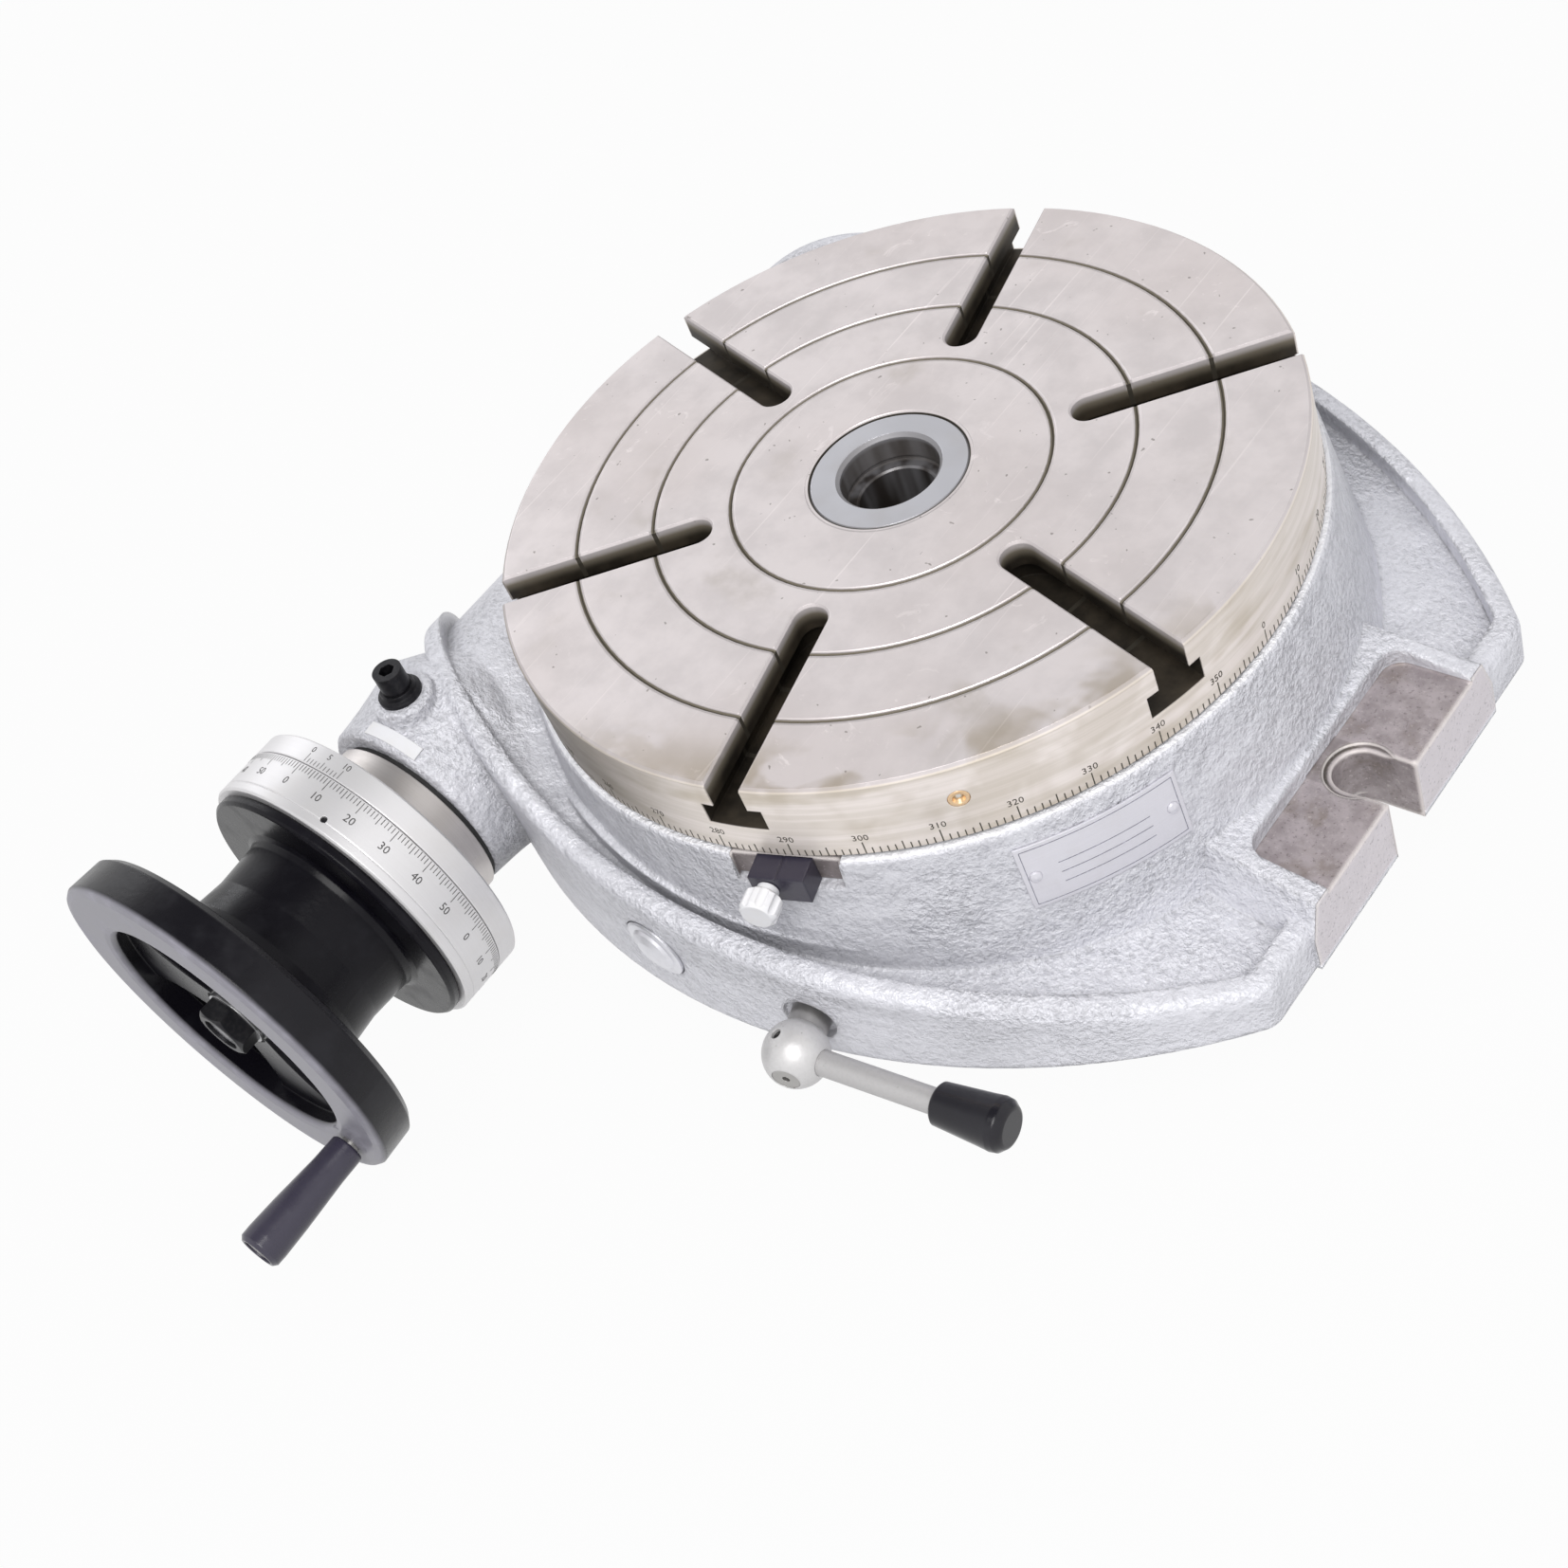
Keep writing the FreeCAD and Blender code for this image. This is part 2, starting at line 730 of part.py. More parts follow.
def worm_wheel():
    """Ninety tooth wheel. Its teeth lean by the lead angle of the worm."""
    lead_angle_tan = worm_lead / (2 * math.pi * worm_pitch_radius)
    twist = math.degrees(lead_angle_tan * wheel_face / 2 / wheel_pitch_radius)
    blank = Part.makeLoft([wheel_profile(wheel_low, -twist), wheel_profile(wheel_high, twist)], True, True)
    crown = wheel_pitch_radius + addendum
    bevel = 2.0
    edge = revolved([
        (0, wheel_low),
        (crown - bevel, wheel_low),
        (crown + 0.1, wheel_low + bevel),
        (crown + 0.1, wheel_high - bevel),
        (crown - bevel, wheel_high),
        (0, wheel_high),
    ])
    blank = blank.common(edge)
    web_low = wheel_low + 8
    rim_inner = wheel_pitch_radius - 12
    lightening = ring(0, rim_inner, wheel_low - 1, web_low)
    hub = ring(wheel_bore_radius, wheel_seat_radius, wheel_low + 1, web_low)
    blank = blank.cut(lightening).fuse(hub)
    blank = blank.cut(cylinder(wheel_bore_radius, Vector(0, 0, wheel_low - 1), wheel_face + 2))
    holes = []
    for k in range(retainer_screws):
        seat = polar(wheel_screw_circle, 60 * k + 14, wheel_low + 9)
        holes.append(cylinder(4 + screw_gap, seat, wheel_face))
        holes.append(cylinder(7, seat - Z_AXIS * 10, 10))
    holes += [wheel_dowel(k, screw_gap / 2) for k in range(2)]
    return blank.cut(group(holes)).removeSplitter()


def wheel_dowel(k, clearance=0.0):
    start = polar(wheel_screw_circle, 180 * k + 44, wheel_low + 10)
    length = wheel_face - 10 + 12
    if clearance:
        start = start - Z_AXIS * 10
        length = length + 10
    return cylinder(3 + clearance, start, length)


def wheel_screw_hole(k):
    return cylinder(4 + screw_gap, polar(wheel_screw_circle, 60 * k + 14, wheel_high - 1), 17)


def wheel_screws():
    screws = []
    for k in range(retainer_screws):
        seat = polar(wheel_screw_circle, 60 * k + 14, wheel_low + 9)
        screws.append(cap_screw(4, 6.5, 8, wheel_face - 9 + 14, 6, seat, Z_AXIS))
    return group(screws)


def retaining_disc():
    """Disc under the boss of the casting that holds the table down."""
    body = ring(sleeve_radius - 8, disc_radius, disc_bottom, spigot_bottom)
    holes = []
    for k in range(retainer_screws):
        seat = polar(disc_screw_circle, 60 * k, disc_bottom + 5)
        holes.append(cylinder(3 + screw_gap, seat, 10))
        holes.append(cylinder(5.3, seat - Z_AXIS * 10, 10))
    return body.cut(group(holes))


def disc_screw_hole(k):
    return cylinder(3 + screw_gap, polar(disc_screw_circle, 60 * k, spigot_bottom - 1), 16)


def disc_screws():
    screws = []
    for k in range(retainer_screws):
        seat = polar(disc_screw_circle, 60 * k, disc_bottom + 5)
        screws.append(cap_screw(3, 5, 4.6, 16, 4, seat, Z_AXIS))
    return group(screws)


def worm_shaft():
    """Single start worm in one piece with its shaft."""
    tip = worm_pitch_radius + addendum
    root = worm_pitch_radius - dedendum
    half = worm_thread_length / 2
    profile = [
        (0, worm_end),
        (7.5, worm_end),
        (8, worm_end + 0.5),
        (8, rim_front + 22),
        (stub_radius, rim_front + 22),
        (stub_radius, dial_back + 2),
        (journal_radius, dial_back + 2),
        (journal_radius, -half - 12),
        (root, -half - 12),
        (root, half + 8),
        (rear_journal_radius, half + 8),
        (rear_journal_radius, carrier_rear - 8),
        (9, carrier_rear - 8),
        (9, carrier_rear + 16),
        (0, carrier_rear + 16),
    ]
    shaft = revolved(profile, worm_centre, Y_AXIS)
    thread = worm_thread(root - 0.6, tip)
    return shaft.fuse(thread).cut(key_slot())


def worm_thread(inner, outer):
    """Trapezoid thread swept on a right hand helix, trimmed square at both ends."""
    turns = math.ceil(worm_thread_length / worm_lead) + 1
    height = turns * worm_lead
    pitch_half = math.pi * module / 4
    slope = math.tan(pressure_angle)
    wide = pitch_half + (worm_pitch_radius - inner) * slope
    narrow = pitch_half - (outer - worm_pitch_radius) * slope
    profile = Part.makePolygon([
        Vector(inner, 0, -wide),
        Vector(outer, 0, -narrow),
        Vector(outer, 0, narrow),
        Vector(inner, 0, wide),
        Vector(inner, 0, -wide),
    ])
    helix = Part.makeHelix(worm_lead, height, worm_pitch_radius)
    thread = Part.Wire(helix.Edges).makePipeShell([profile], True, True)
    thread.translate(Vector(0, 0, -worm_lead * (turns // 2)))
    thread.rotate(ORIGIN, X_AXIS, -90)
    keep = cylinder(outer + 5, Vector(0, -worm_thread_length / 2, 0), worm_thread_length, Y_AXIS)
    thread = thread.common(keep)
    thread.translate(worm_centre)
    return thread


def key_slot(clearance=0.0):
    """Key seat on top of the shaft between the dial hub and the handwheel."""
    half = key_width / 2 + clearance
    return box(worm_x - half, worm_x + half, rim_front + 24, dial_front + 10,
               worm_z + stub_radius - 2.5, worm_z + stub_radius + 3)


def drive_key():
    half = key_width / 2
    return box(worm_x - half, worm_x + half, rim_front + 24, dial_front + 10,
               worm_z + stub_radius - 2.5, worm_z + stub_radius + 2)


def key_way_tool():
    half = key_width / 2 + face_gap
    return box(worm_x - half, worm_x + half, rim_front - 10, dial_front + 12,
               worm_z, worm_z + stub_radius + 2.2)


def eccentric_sleeve():
    """Worm carrier. Its body turns in the housing and its bores are off centre."""
    flange_front = vernier_back
    body = cylinder(carrier_radius, housing_centre + Y_AXIS * housing_face, carrier_rear - housing_face, Y_AXIS)
    flange = revolved([
        (0, dial_back + 0.6),
        (carrier_spigot_radius, dial_back + 0.6),
        (carrier_spigot_radius, flange_front),
        (carrier_flange_radius - 0.8, flange_front),
        (carrier_flange_radius, flange_front + 0.8),
        (carrier_flange_radius, housing_face - seal_thickness),
        (carrier_radius - 4, housing_face - seal_thickness),
        (carrier_radius - 4, housing_face + 1),
        (0, housing_face + 1),
    ], worm_centre, Y_AXIS)
    body = body.fuse(flange)
    bores = revolved([
        (0, dial_back - 1),
        (carrier_front_bore, dial_back - 1),
        (carrier_front_bore, -worm_thread_length / 2 - 30),
        (carrier_bore, -worm_thread_length / 2 - 30),
        (carrier_bore, carrier_rear + 1),
        (0, carrier_rear + 1),
    ], worm_centre, Y_AXIS)
    window = ring(0, wheel_pitch_radius + addendum + 2, wheel_low - 1, wheel_high + 1)
    return body.cut(bores).cut(window).removeSplitter()


def seal_ring():
    """Felt and rubber ring between the housing face and the carrier flange."""
    outer = nozzle_radius - 4.0
    front = housing_face - seal_thickness
    body = cylinder(outer, worm_centre + Y_AXIS * front, seal_thickness, Y_AXIS)
    return body.cut(cylinder(carrier_radius + 4, worm_centre + Y_AXIS * (front - 1), seal_thickness + 2, Y_AXIS))


def bush(inner, outer, s0, s1):
    return ring(inner + running_gap, outer - face_gap / 2, s0, s1, worm_centre, Y_AXIS)


def front_bushes():
    """Two plain bronze bushes in the front bore of the carrier."""
    first = bush(journal_radius, carrier_front_bore, dial_back + 6, dial_back + 40)
    second = bush(journal_radius, carrier_front_bore, -worm_thread_length / 2 - 62, -worm_thread_length / 2 - 31)
    return group([first, second])


def rear_bush():
    return bush(rear_journal_radius, carrier_bore, worm_thread_length / 2 + 12, carrier_rear - 9)


def thrust_ring():
    """Hardened ring that takes the axial load behind the rear bush."""
    return ring(9 + screw_gap, 17, carrier_rear - 7.9, carrier_rear - 3, worm_centre, Y_AXIS)


def lock_nuts():
    """Two round slotted nuts that set the end play of the worm."""
    nuts = []
    for k in range(2):
        start = carrier_rear - 2.9 + 8.2 * k
        nut = ring(9 + screw_gap, 16, start, start + 8, worm_centre, Y_AXIS)
        for j in range(4):
            notch = box(worm_x + 13.5, worm_x + 20, start - 1, start + 9, worm_z - 2.5, worm_z + 2.5)
            notch.rotate(worm_centre, Y_AXIS, 90 * j)
            nut = nut.cut(notch)
        nuts.append(nut)
    return group(nuts)


def rear_cover():
    """Cap over the rear end of the worm bore."""
    start = rear_seat
    body = revolved([
        (0, start - 6),
        (rear_bore_radius - 0.3, start - 6),
        (rear_bore_radius - 0.3, start),
        (rear_barrel_radius - 0.5, start),
        (rear_barrel_radius - 0.5, start + 3.8),
        (rear_barrel_radius - 1.7, start + 5),
        (0, start + 5),
    ], housing_centre, Y_AXIS)
    return body.cut(group([cover_screw_tool(k) for k in range(4)]))


def cover_screw_seat(k):
    a = math.radians(45 + 90 * k)
    circle = (rear_bore_radius + rear_barrel_radius) / 2
    return Vector(housing_x + circle * math.cos(a), rear_seat + 2.5, housing_z + circle * math.sin(a))


def cover_screw_tool(k):
    seat = cover_screw_seat(k)
    return cylinder(2.9, seat, 10, Y_AXIS).fuse(cylinder(1.6, seat - Y_AXIS * 8, 9, Y_AXIS))


def cover_screw_hole(k):
    return cylinder(1.6, cover_screw_seat(k) - Y_AXIS * 13, 12, Y_AXIS)


def cover_screws():
    return group([cap_screw(1.5, 2.75, 2.5, 12, 2.5, cover_screw_seat(k), Y_AXIS * -1) for k in range(4)])


def vernier_ring():
    """Fixed index ring beside the dial."""
    profile = [
        (carrier_spigot_radius + face_gap, vernier_back),
        (dial_radius - 0.8, vernier_back),
        (dial_radius, vernier_back - 0.8),
        (dial_radius, dial_back + 0.3),
        (dial_radius - 0.3, dial_back),
        (carrier_spigot_radius + face_gap, dial_back),
    ]
    return revolved(profile, worm_centre, Y_AXIS)


def dial_ring():
    """Graduated ring that slips on the hub so that it can be set to zero."""
    back = dial_back - dial_gap
    line = dial_front + 4.4
    profile = [
        (dial_bore + running_gap, back),
        (dial_bore + 6, back),
        (dial_bore + 6, back - 12),
        (dial_radius - 7, back - 12),
        (dial_radius - 7, back),
        (dial_radius - 0.3, back),
        (dial_radius, back - 0.3),
        (dial_radius, line + 0.3),
        (dial_radius - 0.3, line),
        (dial_radius, line - 0.3),
        (dial_radius, dial_front + 0.8),
        (dial_radius - 0.8, dial_front),
        (dial_bore + running_gap, dial_front),
    ]
    body = revolved(profile, worm_centre, Y_AXIS)
    return body.cut(dial_screw_tool(screw_gap, 12))


def dial_screw_tool(clearance, length):
    """Radial screw of the dial ring, at its front edge."""
    axis = Vector(math.cos(math.radians(66.8)), 0, math.sin(math.radians(66.8)))
    start = worm_centre + Y_AXIS * (dial_front + 5.2) + axis * (dial_radius - 8.5)
    return cylinder(1.3 + clearance, start, length, axis)


def dial_screw():
    return dial_screw_tool(0, 7.5)


def dial_hub():
    """Black flanged hub that carries the dial and meets the handwheel."""
    front = hub_front
    back = dial_front - dial_flange
    profile = [
        (0, dial_back - 1.5),
        (dial_bore, dial_back - 1.5),
        (dial_bore, dial_front - 0.1),
        (dial_flange_radius - 1, dial_front - 0.1),
        (dial_flange_radius, dial_front - 1.1),
        (dial_flange_radius, back + 1.2),
        (dial_flange_radius - 1.2, back),
        (dial_hub_radius + 3, back),
        (dial_hub_radius + 0.8, back - 1.0),
        (dial_hub_radius, back - 3.5),
        (dial_hub_radius - 0.8, (back + front) / 2),
        (dial_hub_radius + 0.5, front + 8),
        (dial_hub_radius + 3.5, front),
        (dial_hub_radius - 7, front),
        (dial_hub_radius - 9, front + 30),
        (stub_radius + 9, front + 30),
        (stub_radius + 9, front),
        (0, front),
    ]
    body = revolved(profile, worm_centre, Y_AXIS)
    bore = cylinder(stub_radius + face_gap, worm_centre + Y_AXIS * (front - 5), 100, Y_AXIS)
    recess = cylinder(journal_radius + 1, worm_centre + Y_AXIS * (dial_back - 2), 10, Y_AXIS)
    return body.cut(bore).cut(recess).cut(key_way_tool())


def handwheel():
    """Moulded handwheel: a deep rounded rim, three spokes and a hub."""
    mid = (rim_radius + rim_inner_radius) / 2
    rim = revolved([
        (rim_inner_radius, rim_front + 2.5),
        (rim_inner_radius + 1.5, rim_front + 0.6),
        (rim_inner_radius + 4, rim_front),
        (rim_radius - 4, rim_front),
        (rim_radius - 1.2, rim_front + 0.8),
        (rim_radius, rim_front + 2.6),
        (rim_radius - 0.9, rim_back - 3),
        (rim_radius - 3.5, rim_back - 0.5),
        (mid + 4, rim_back),
        (mid + 1, rim_back - 6),
        (rim_inner_radius + 3, rim_back - 7),
    ], worm_centre, Y_AXIS)
    hub = revolved([
        (0, rim_front + spoke_recess + 1),
        (15.5, rim_front + spoke_recess + 1),
        (17, rim_front + spoke_recess + 2.5),
        (18, rim_back - 2),
        (dial_hub_radius - 3, hub_front - 1.5),
        (dial_hub_radius - 3, hub_front - 0.1),
        (0, hub_front - 0.1),
    ], worm_centre, Y_AXIS)
    body = rim.fuse(hub)
    for k in range(spoke_count):
        spoke = flared_spoke()
        spoke.rotate(ORIGIN, Y_AXIS, -(spoke_phase_deg + 360 / spoke_count * k))
        spoke.translate(worm_centre)
        body = body.fuse(spoke)
    body = body.cut(cylinder(stub_radius + face_gap, worm_centre + Y_AXIS * (rim_front + 22), 10, Y_AXIS))
    body = body.cut(cylinder(8 + face_gap, worm_centre + Y_AXIS * (rim_front - 1), 40, Y_AXIS))
    body = body.cut(key_way_tool().common(box(-400, 400, rim_front + 22, 0, -100, 400)))
    body = body.cut(cylinder(14.5, worm_centre + Y_AXIS * rim_front, spoke_recess + 1, Y_AXIS))
    boss = cylinder(grip_root_radius + 2.5, handle_centre + Y_AXIS * (rim_front + 0.2), 14, Y_AXIS)
    body = body.fuse(boss)
    return body.cut(cylinder(stud_radius + face_gap, handle_centre + Y_AXIS * (rim_front - 2), 14, Y_AXIS))


def flared_spoke():
    """Spoke along +X that widens in two arcs to meet the rim."""
    low = rim_front + spoke_recess
    reach = rim_inner_radius + 4
    waist = spoke_width / 2
    flare = spoke_flare / 2
    near = (Vector(10, low, -waist), Vector(32, low, -waist - 2), Vector(reach, low, -flare))
    far = (Vector(reach, low, flare), Vector(32, low, waist + 2), Vector(10, low, waist))
    edges = [
        Part.Arc(*near).toShape(),
        Part.makeLine(near[2], far[0]),
        Part.Arc(*far).toShape(),
        Part.makeLine(far[2], near[0]),
    ]
    return Part.Face(Part.Wire(edges)).extrude(Y_AXIS * spoke_thickness)


def wheel_washer():
    start = rim_front + spoke_recess - 0.6
    return ring(8 + screw_gap, 13.4, start, start + 1.6, worm_centre, Y_AXIS)


def wheel_nut():
    """Hexagon nut on the end of the worm shaft."""
    start = rim_front + spoke_recess - 0.6 - nut_height
    nut = hexagon(nut_across_flats, worm_centre + Y_AXIS * start, nut_height, Y_AXIS)
    corner = nut_across_flats / math.sqrt(3)
    bevel = revolved([
        (0, start - 1),
        (nut_across_flats / 2 - 0.6, start),
        (corner + 0.2, start + 1.6),
        (corner + 0.2, start + nut_height + 1),
        (0, start + nut_height + 1),
    ], worm_centre, Y_AXIS)
    nut = nut.common(bevel)
    return nut.cut(cylinder(8 + screw_gap, worm_centre + Y_AXIS * (start - 2), nut_height + 4, Y_AXIS))


def handle_stud():
    """Shoulder screw that the grip turns on."""
    end = rim_front - 1.5 - grip_length
    shank = cylinder(stud_radius, handle_centre + Y_AXIS * (end + 3), grip_length + 10, Y_AXIS)
    head = cylinder(stud_radius + 2.2, handle_centre + Y_AXIS * (end + 0.8), 2.4, Y_AXIS)
    slot = box(handle_x - 0.6, handle_x + 0.6, end, end + 1.8, handle_z - 8, handle_z + 8)
    return shank.fuse(head).cut(slot)


def handle_grip():
    """Turning grip that widens towards its end."""
    start = rim_front - 1.5
    end = start - grip_length
    outer = [
        (grip_root_radius - 0.6, start),
        (grip_root_radius, start - 0.8),
        (grip_root_radius + 0.2, start - 12),
        (grip_end_radius - 0.5, start - 34),
        (grip_end_radius, end + 6),
        (grip_end_radius - 0.1, end + 1.6),
        (grip_end_radius - 1.5, end),
    ]
    inner = [
        (stud_radius + 2.6, end),
        (stud_radius + 2.6, end + 3.4),
        (stud_radius + running_gap, end + 3.4),
        (stud_radius + running_gap, start),
    ]
    return revolved(outer + inner, handle_centre, Y_AXIS)


def clamp_point(station):
    return clamp_axis * station + Z_AXIS * clamp_height


def clamp_screw():
    """Screw that the ball lever turns. It pushes the shoe against the table spigot."""
    tip = boss_bore + 11.0
    body = cylinder(clamp_screw_radius, clamp_point(tip), ball_station - ball_flat - tip + 1.5, clamp_axis)
    stub = cylinder(clamp_screw_radius - 2.5, clamp_point(ball_station - ball_flat + 1), 2 * ball_flat - 1.2, clamp_axis)
    dimple = cylinder(1.5, clamp_point(ball_station + ball_flat - 2), 5, clamp_axis)
    return body.fuse(stub).cut(dimple)


def clamp_shoe():
    """Bronze pad in the boss bore, bored to the radius of the spigot."""
    pad = cylinder(shoe_radius, clamp_point(boss_bore - 3), 13.6, clamp_axis)
    return pad.cut(cylinder(spigot_radius + 0.45, Vector(0, 0, -1), 60))


def lever_ball():
    """Ball of the lever, with two flats, the screw bore and the arm socket."""
    ball = Part.makeSphere(ball_radius, clamp_point(ball_station))
    keep = cylinder(ball_radius + 1, clamp_point(ball_station - ball_flat), 2 * ball_flat, clamp_axis)
    ball = ball.common(keep)
    ball = ball.cut(cylinder(clamp_screw_radius - 2.5 + face_gap, clamp_point(ball_station - 20), 40, clamp_axis))
    ball = ball.cut(cylinder(clamp_screw_radius + face_gap, clamp_point(ball_station - 20), 20 - ball_flat + 1.6, clamp_axis))
    ball = ball.cut(cylinder(arm_radius + face_gap, arm_point(8.0), 20, arm_axis()))
    return ball.cut(set_screw_tool(2.1))


def arm_axis():
    """Direction of the lever arm: level, leaning a little outwards."""
    tilt = math.radians(arm_tilt_deg)
    level = Z_AXIS.cross(clamp_axis) * math.cos(tilt)
    return level + clamp_axis * math.sin(tilt)


def arm_point(distance):
    return clamp_point(ball_station) + arm_axis() * distance


def set_screw_tool(radius):
    """Grub screw in the upper side of the ball."""
    axis = Z_AXIS * 0.94 - Z_AXIS.cross(clamp_axis) * 0.34
    start = clamp_point(ball_station) + axis * (clamp_screw_radius - 2.5 + 0.3)
    return cylinder(radius, start, 10, axis)


def lever_set_screw():
    axis = Z_AXIS * 0.94 - Z_AXIS.cross(clamp_axis) * 0.34
    start = clamp_point(ball_station) + axis * (clamp_screw_radius - 2.5 + 0.4)
    body = cylinder(2, start, 5.6, axis)
    return body.cut(hexagon(2, start + axis * 3.6, 4, axis))


def lever_arm():
    return cylinder(arm_radius, arm_point(8.2), arm_length - 8.2 + 16, arm_axis())


def lever_knob():
    """Tapered black knob with a rounded end."""
    start = arm_length
    end = arm_length + knob_length
    profile = [
        (arm_radius + face_gap, start),
        (knob_root_radius - 0.8, start),
        (knob_root_radius, start + 0.8),
        (knob_end_radius - 0.5, start + knob_length * 0.66),
        (knob_end_radius, end - 5.5),
        (knob_end_radius - 0.4, end - 3),
        (knob_end_radius - 2.4, end - 0.5),
        (knob_end_radius - 3.4, end),
        (0, end),
        (0, start + 16.2),
        (arm_radius + face_gap, start + 16.2),
    ]
    return revolved(profile, arm_point(0), arm_axis())


def lock_collar():
    """Flanged collar under the lock screw of the carrier."""
    seat = Vector(lock_screw_x, lock_screw_y, lock_boss_top)
    profile = [(3 + screw_gap, 0), (9.2, 0), (9.2, 1.6), (7.6, 2.4), (7.2, 4.4), (3 + screw_gap, 4.4)]
    return revolved(profile, seat)


def lock_screw():
    seat = Vector(lock_screw_x, lock_screw_y, lock_boss_top + 4.4)
    screw = cap_screw(3, 6.2, 9.4, 15, 6, seat, Z_AXIS * -1)
    return screw


def sight_plug():
    """Domed oil level plug in the skirt."""
    axis = radial_axis(sight_azimuth_deg)
    station = skirt_station(sight_azimuth_deg)
    profile = [
        (0, station - 12),
        (sight_radius - 4 - screw_gap, station - 12),
        (sight_radius - 4 - screw_gap, station - 2.5),
        (sight_radius, station - 2.5),
        (sight_radius, station + 0.4),
        (sight_radius - 1.0, station + 0.9),
        (sight_radius - 3.6, station + 0.9),
        (sight_radius - 4.4, station + 2.2),
        (sight_radius - 8, station + 3.4),
        (0, station + 3.9),
    ]
    return revolved(profile, Z_AXIS * sight_height, axis)


def zero_pointer():
    """Black index block under the edge of the table."""
    low = rim_height - pointer_height
    half = pointer_width / 2
    body = box(way_outer_radius + 1.7, pointer_outer, -half, half, low, rim_height)
    mark = box(way_outer_radius, pointer_outer + 1, -0.4, 0.4, rim_height - 0.3, rim_height + 1)
    body = body.cut(mark)
    body = on_azimuth(body, pointer_azimuth_deg)
    axis = radial_axis(thumb_azimuth_deg)
    return body.cut(cylinder(2.5 + screw_gap, axis * way_outer_radius + Z_AXIS * thumb_height(), 30, axis))


def thumb_screw():
    """White fluted screw that holds the pointer."""
    axis = radial_axis(thumb_azimuth_deg)
    start = pointer_outer + 0.3
    shank = cylinder(2.5, axis * (way_outer_radius - 6) + Z_AXIS * thumb_height(),
                     start - way_outer_radius + 8, axis)
    neck = cylinder(4.2, axis * start + Z_AXIS * thumb_height(), 4, axis)
    knob = revolved([
        (0, start + 3.5),
        (thumb_radius - 1, start + 3.5),
        (thumb_radius, start + 4.5),
        (thumb_radius, start + thumb_length),
        (thumb_radius - 1.5, start + thumb_length + 1.5),
        (0, start + thumb_length + 1.5),
    ], Z_AXIS * thumb_height(), axis)
    side = axis.cross(Z_AXIS)
    flutes = []
    for k in range(8):
        a = math.radians(45 * k + 22.5)
        offset = side * (math.cos(a) * (thumb_radius + 0.7)) + Z_AXIS * (math.sin(a) * (thumb_radius + 0.7))
        flutes.append(cylinder(1.9, axis * start + Z_AXIS * thumb_height() + offset, 20, axis))
    return shank.fuse(neck).fuse(knob.cut(group(flutes)))


def drum_shell(inner, outer, low, high):
    """Ring on the drafted drum wall, between two offsets from the wall."""
    return revolved([
        (drum_radius_at(low) + inner, low),
        (drum_radius_at(low) + outer, low),
        (drum_radius_at(high) + outer, high),
        (drum_radius_at(high) + inner, high),
    ])


def nameplate():
    """Bare plate bent round the drum wall."""
    shell = drum_shell(0.02, plate_thickness, plate_low, plate_high)
    keep = box(100, 220, -plate_width / 2, plate_width / 2, 0, 100)
    plate = shell.common(on_azimuth(keep, plate_azimuth_deg))
    return plate.cut(group([rivet_hole(k) for k in (-1, 1)]))


def rivet_axis(k):
    return plate_azimuth_deg + k * math.degrees((plate_width / 2 - 4.5) / drum_radius_at(63))


def rivet_line(k):
    """Foot on the drafted wall and outward direction of a rivet."""
    draft = math.radians(drum_draft_deg)
    radial = radial_axis(rivet_axis(k))
    height = (plate_low + plate_high) / 2
    return radial * drum_radius_at(height) + Z_AXIS * height, radial * math.cos(draft) + Z_AXIS * math.sin(draft)


def rivet_hole(k):
    foot, axis = rivet_line(k)
    return cylinder(1.25, foot - axis * 5, 12, axis)


def plate_rivets():
    rivets = []
    for k in (-1, 1):
        foot, axis = rivet_line(k)
        face = plate_thickness + 0.05
        profile = [(0, face - 4.5), (1.2, face - 4.5), (1.2, face), (2.4, face), (2.0, face + 0.8), (0, face + 1.1)]
        rivets.append(revolved(profile, foot, axis))
    return group(rivets)


def housing_label():
    """Bare strip bent over the nozzle of the worm housing."""
    near = housing_face + 2.0
    far = housing_face + 8.0
    grow = 1.5 / 14.5
    r_near = nozzle_radius + 0.5 * grow
    r_far = nozzle_radius + 6.5 * grow
    lift = 0.02
    shell = revolved([
        (r_near + lift, near),
        (r_near + lift + 0.5, near),
        (r_far + lift + 0.5, far),
        (r_far + lift, far),
    ], housing_centre, Y_AXIS)
    keep = box(-6, 21, near - 1, far + 1, 5, 80)
    keep.translate(housing_centre)
    return shell.common(keep)


def ball_oiler_body():
    """Brass cup of the ball oiler in the side of the table."""
    axis = radial_axis(oiler_azimuth_deg)
    face = table_radius + 0.1
    profile = [
        (1.6, face - 6.5),
        (oiler_radius, face - 6.5),
        (oiler_radius, face - 0.4),
        (oiler_radius - 0.5, face),
        (2.4, face),
        (1.5, face - 1.6),
        (2.2, face - 2.4),
        (2.2, face - 5.5),
        (1.6, face - 5.5),
    ]
    return revolved(profile, Z_AXIS * oiler_height, axis)


def ball_oiler_ball():
    axis = radial_axis(oiler_azimuth_deg)
    return Part.makeSphere(1.95, axis * (table_radius - 2.75) + Z_AXIS * oiler_height)


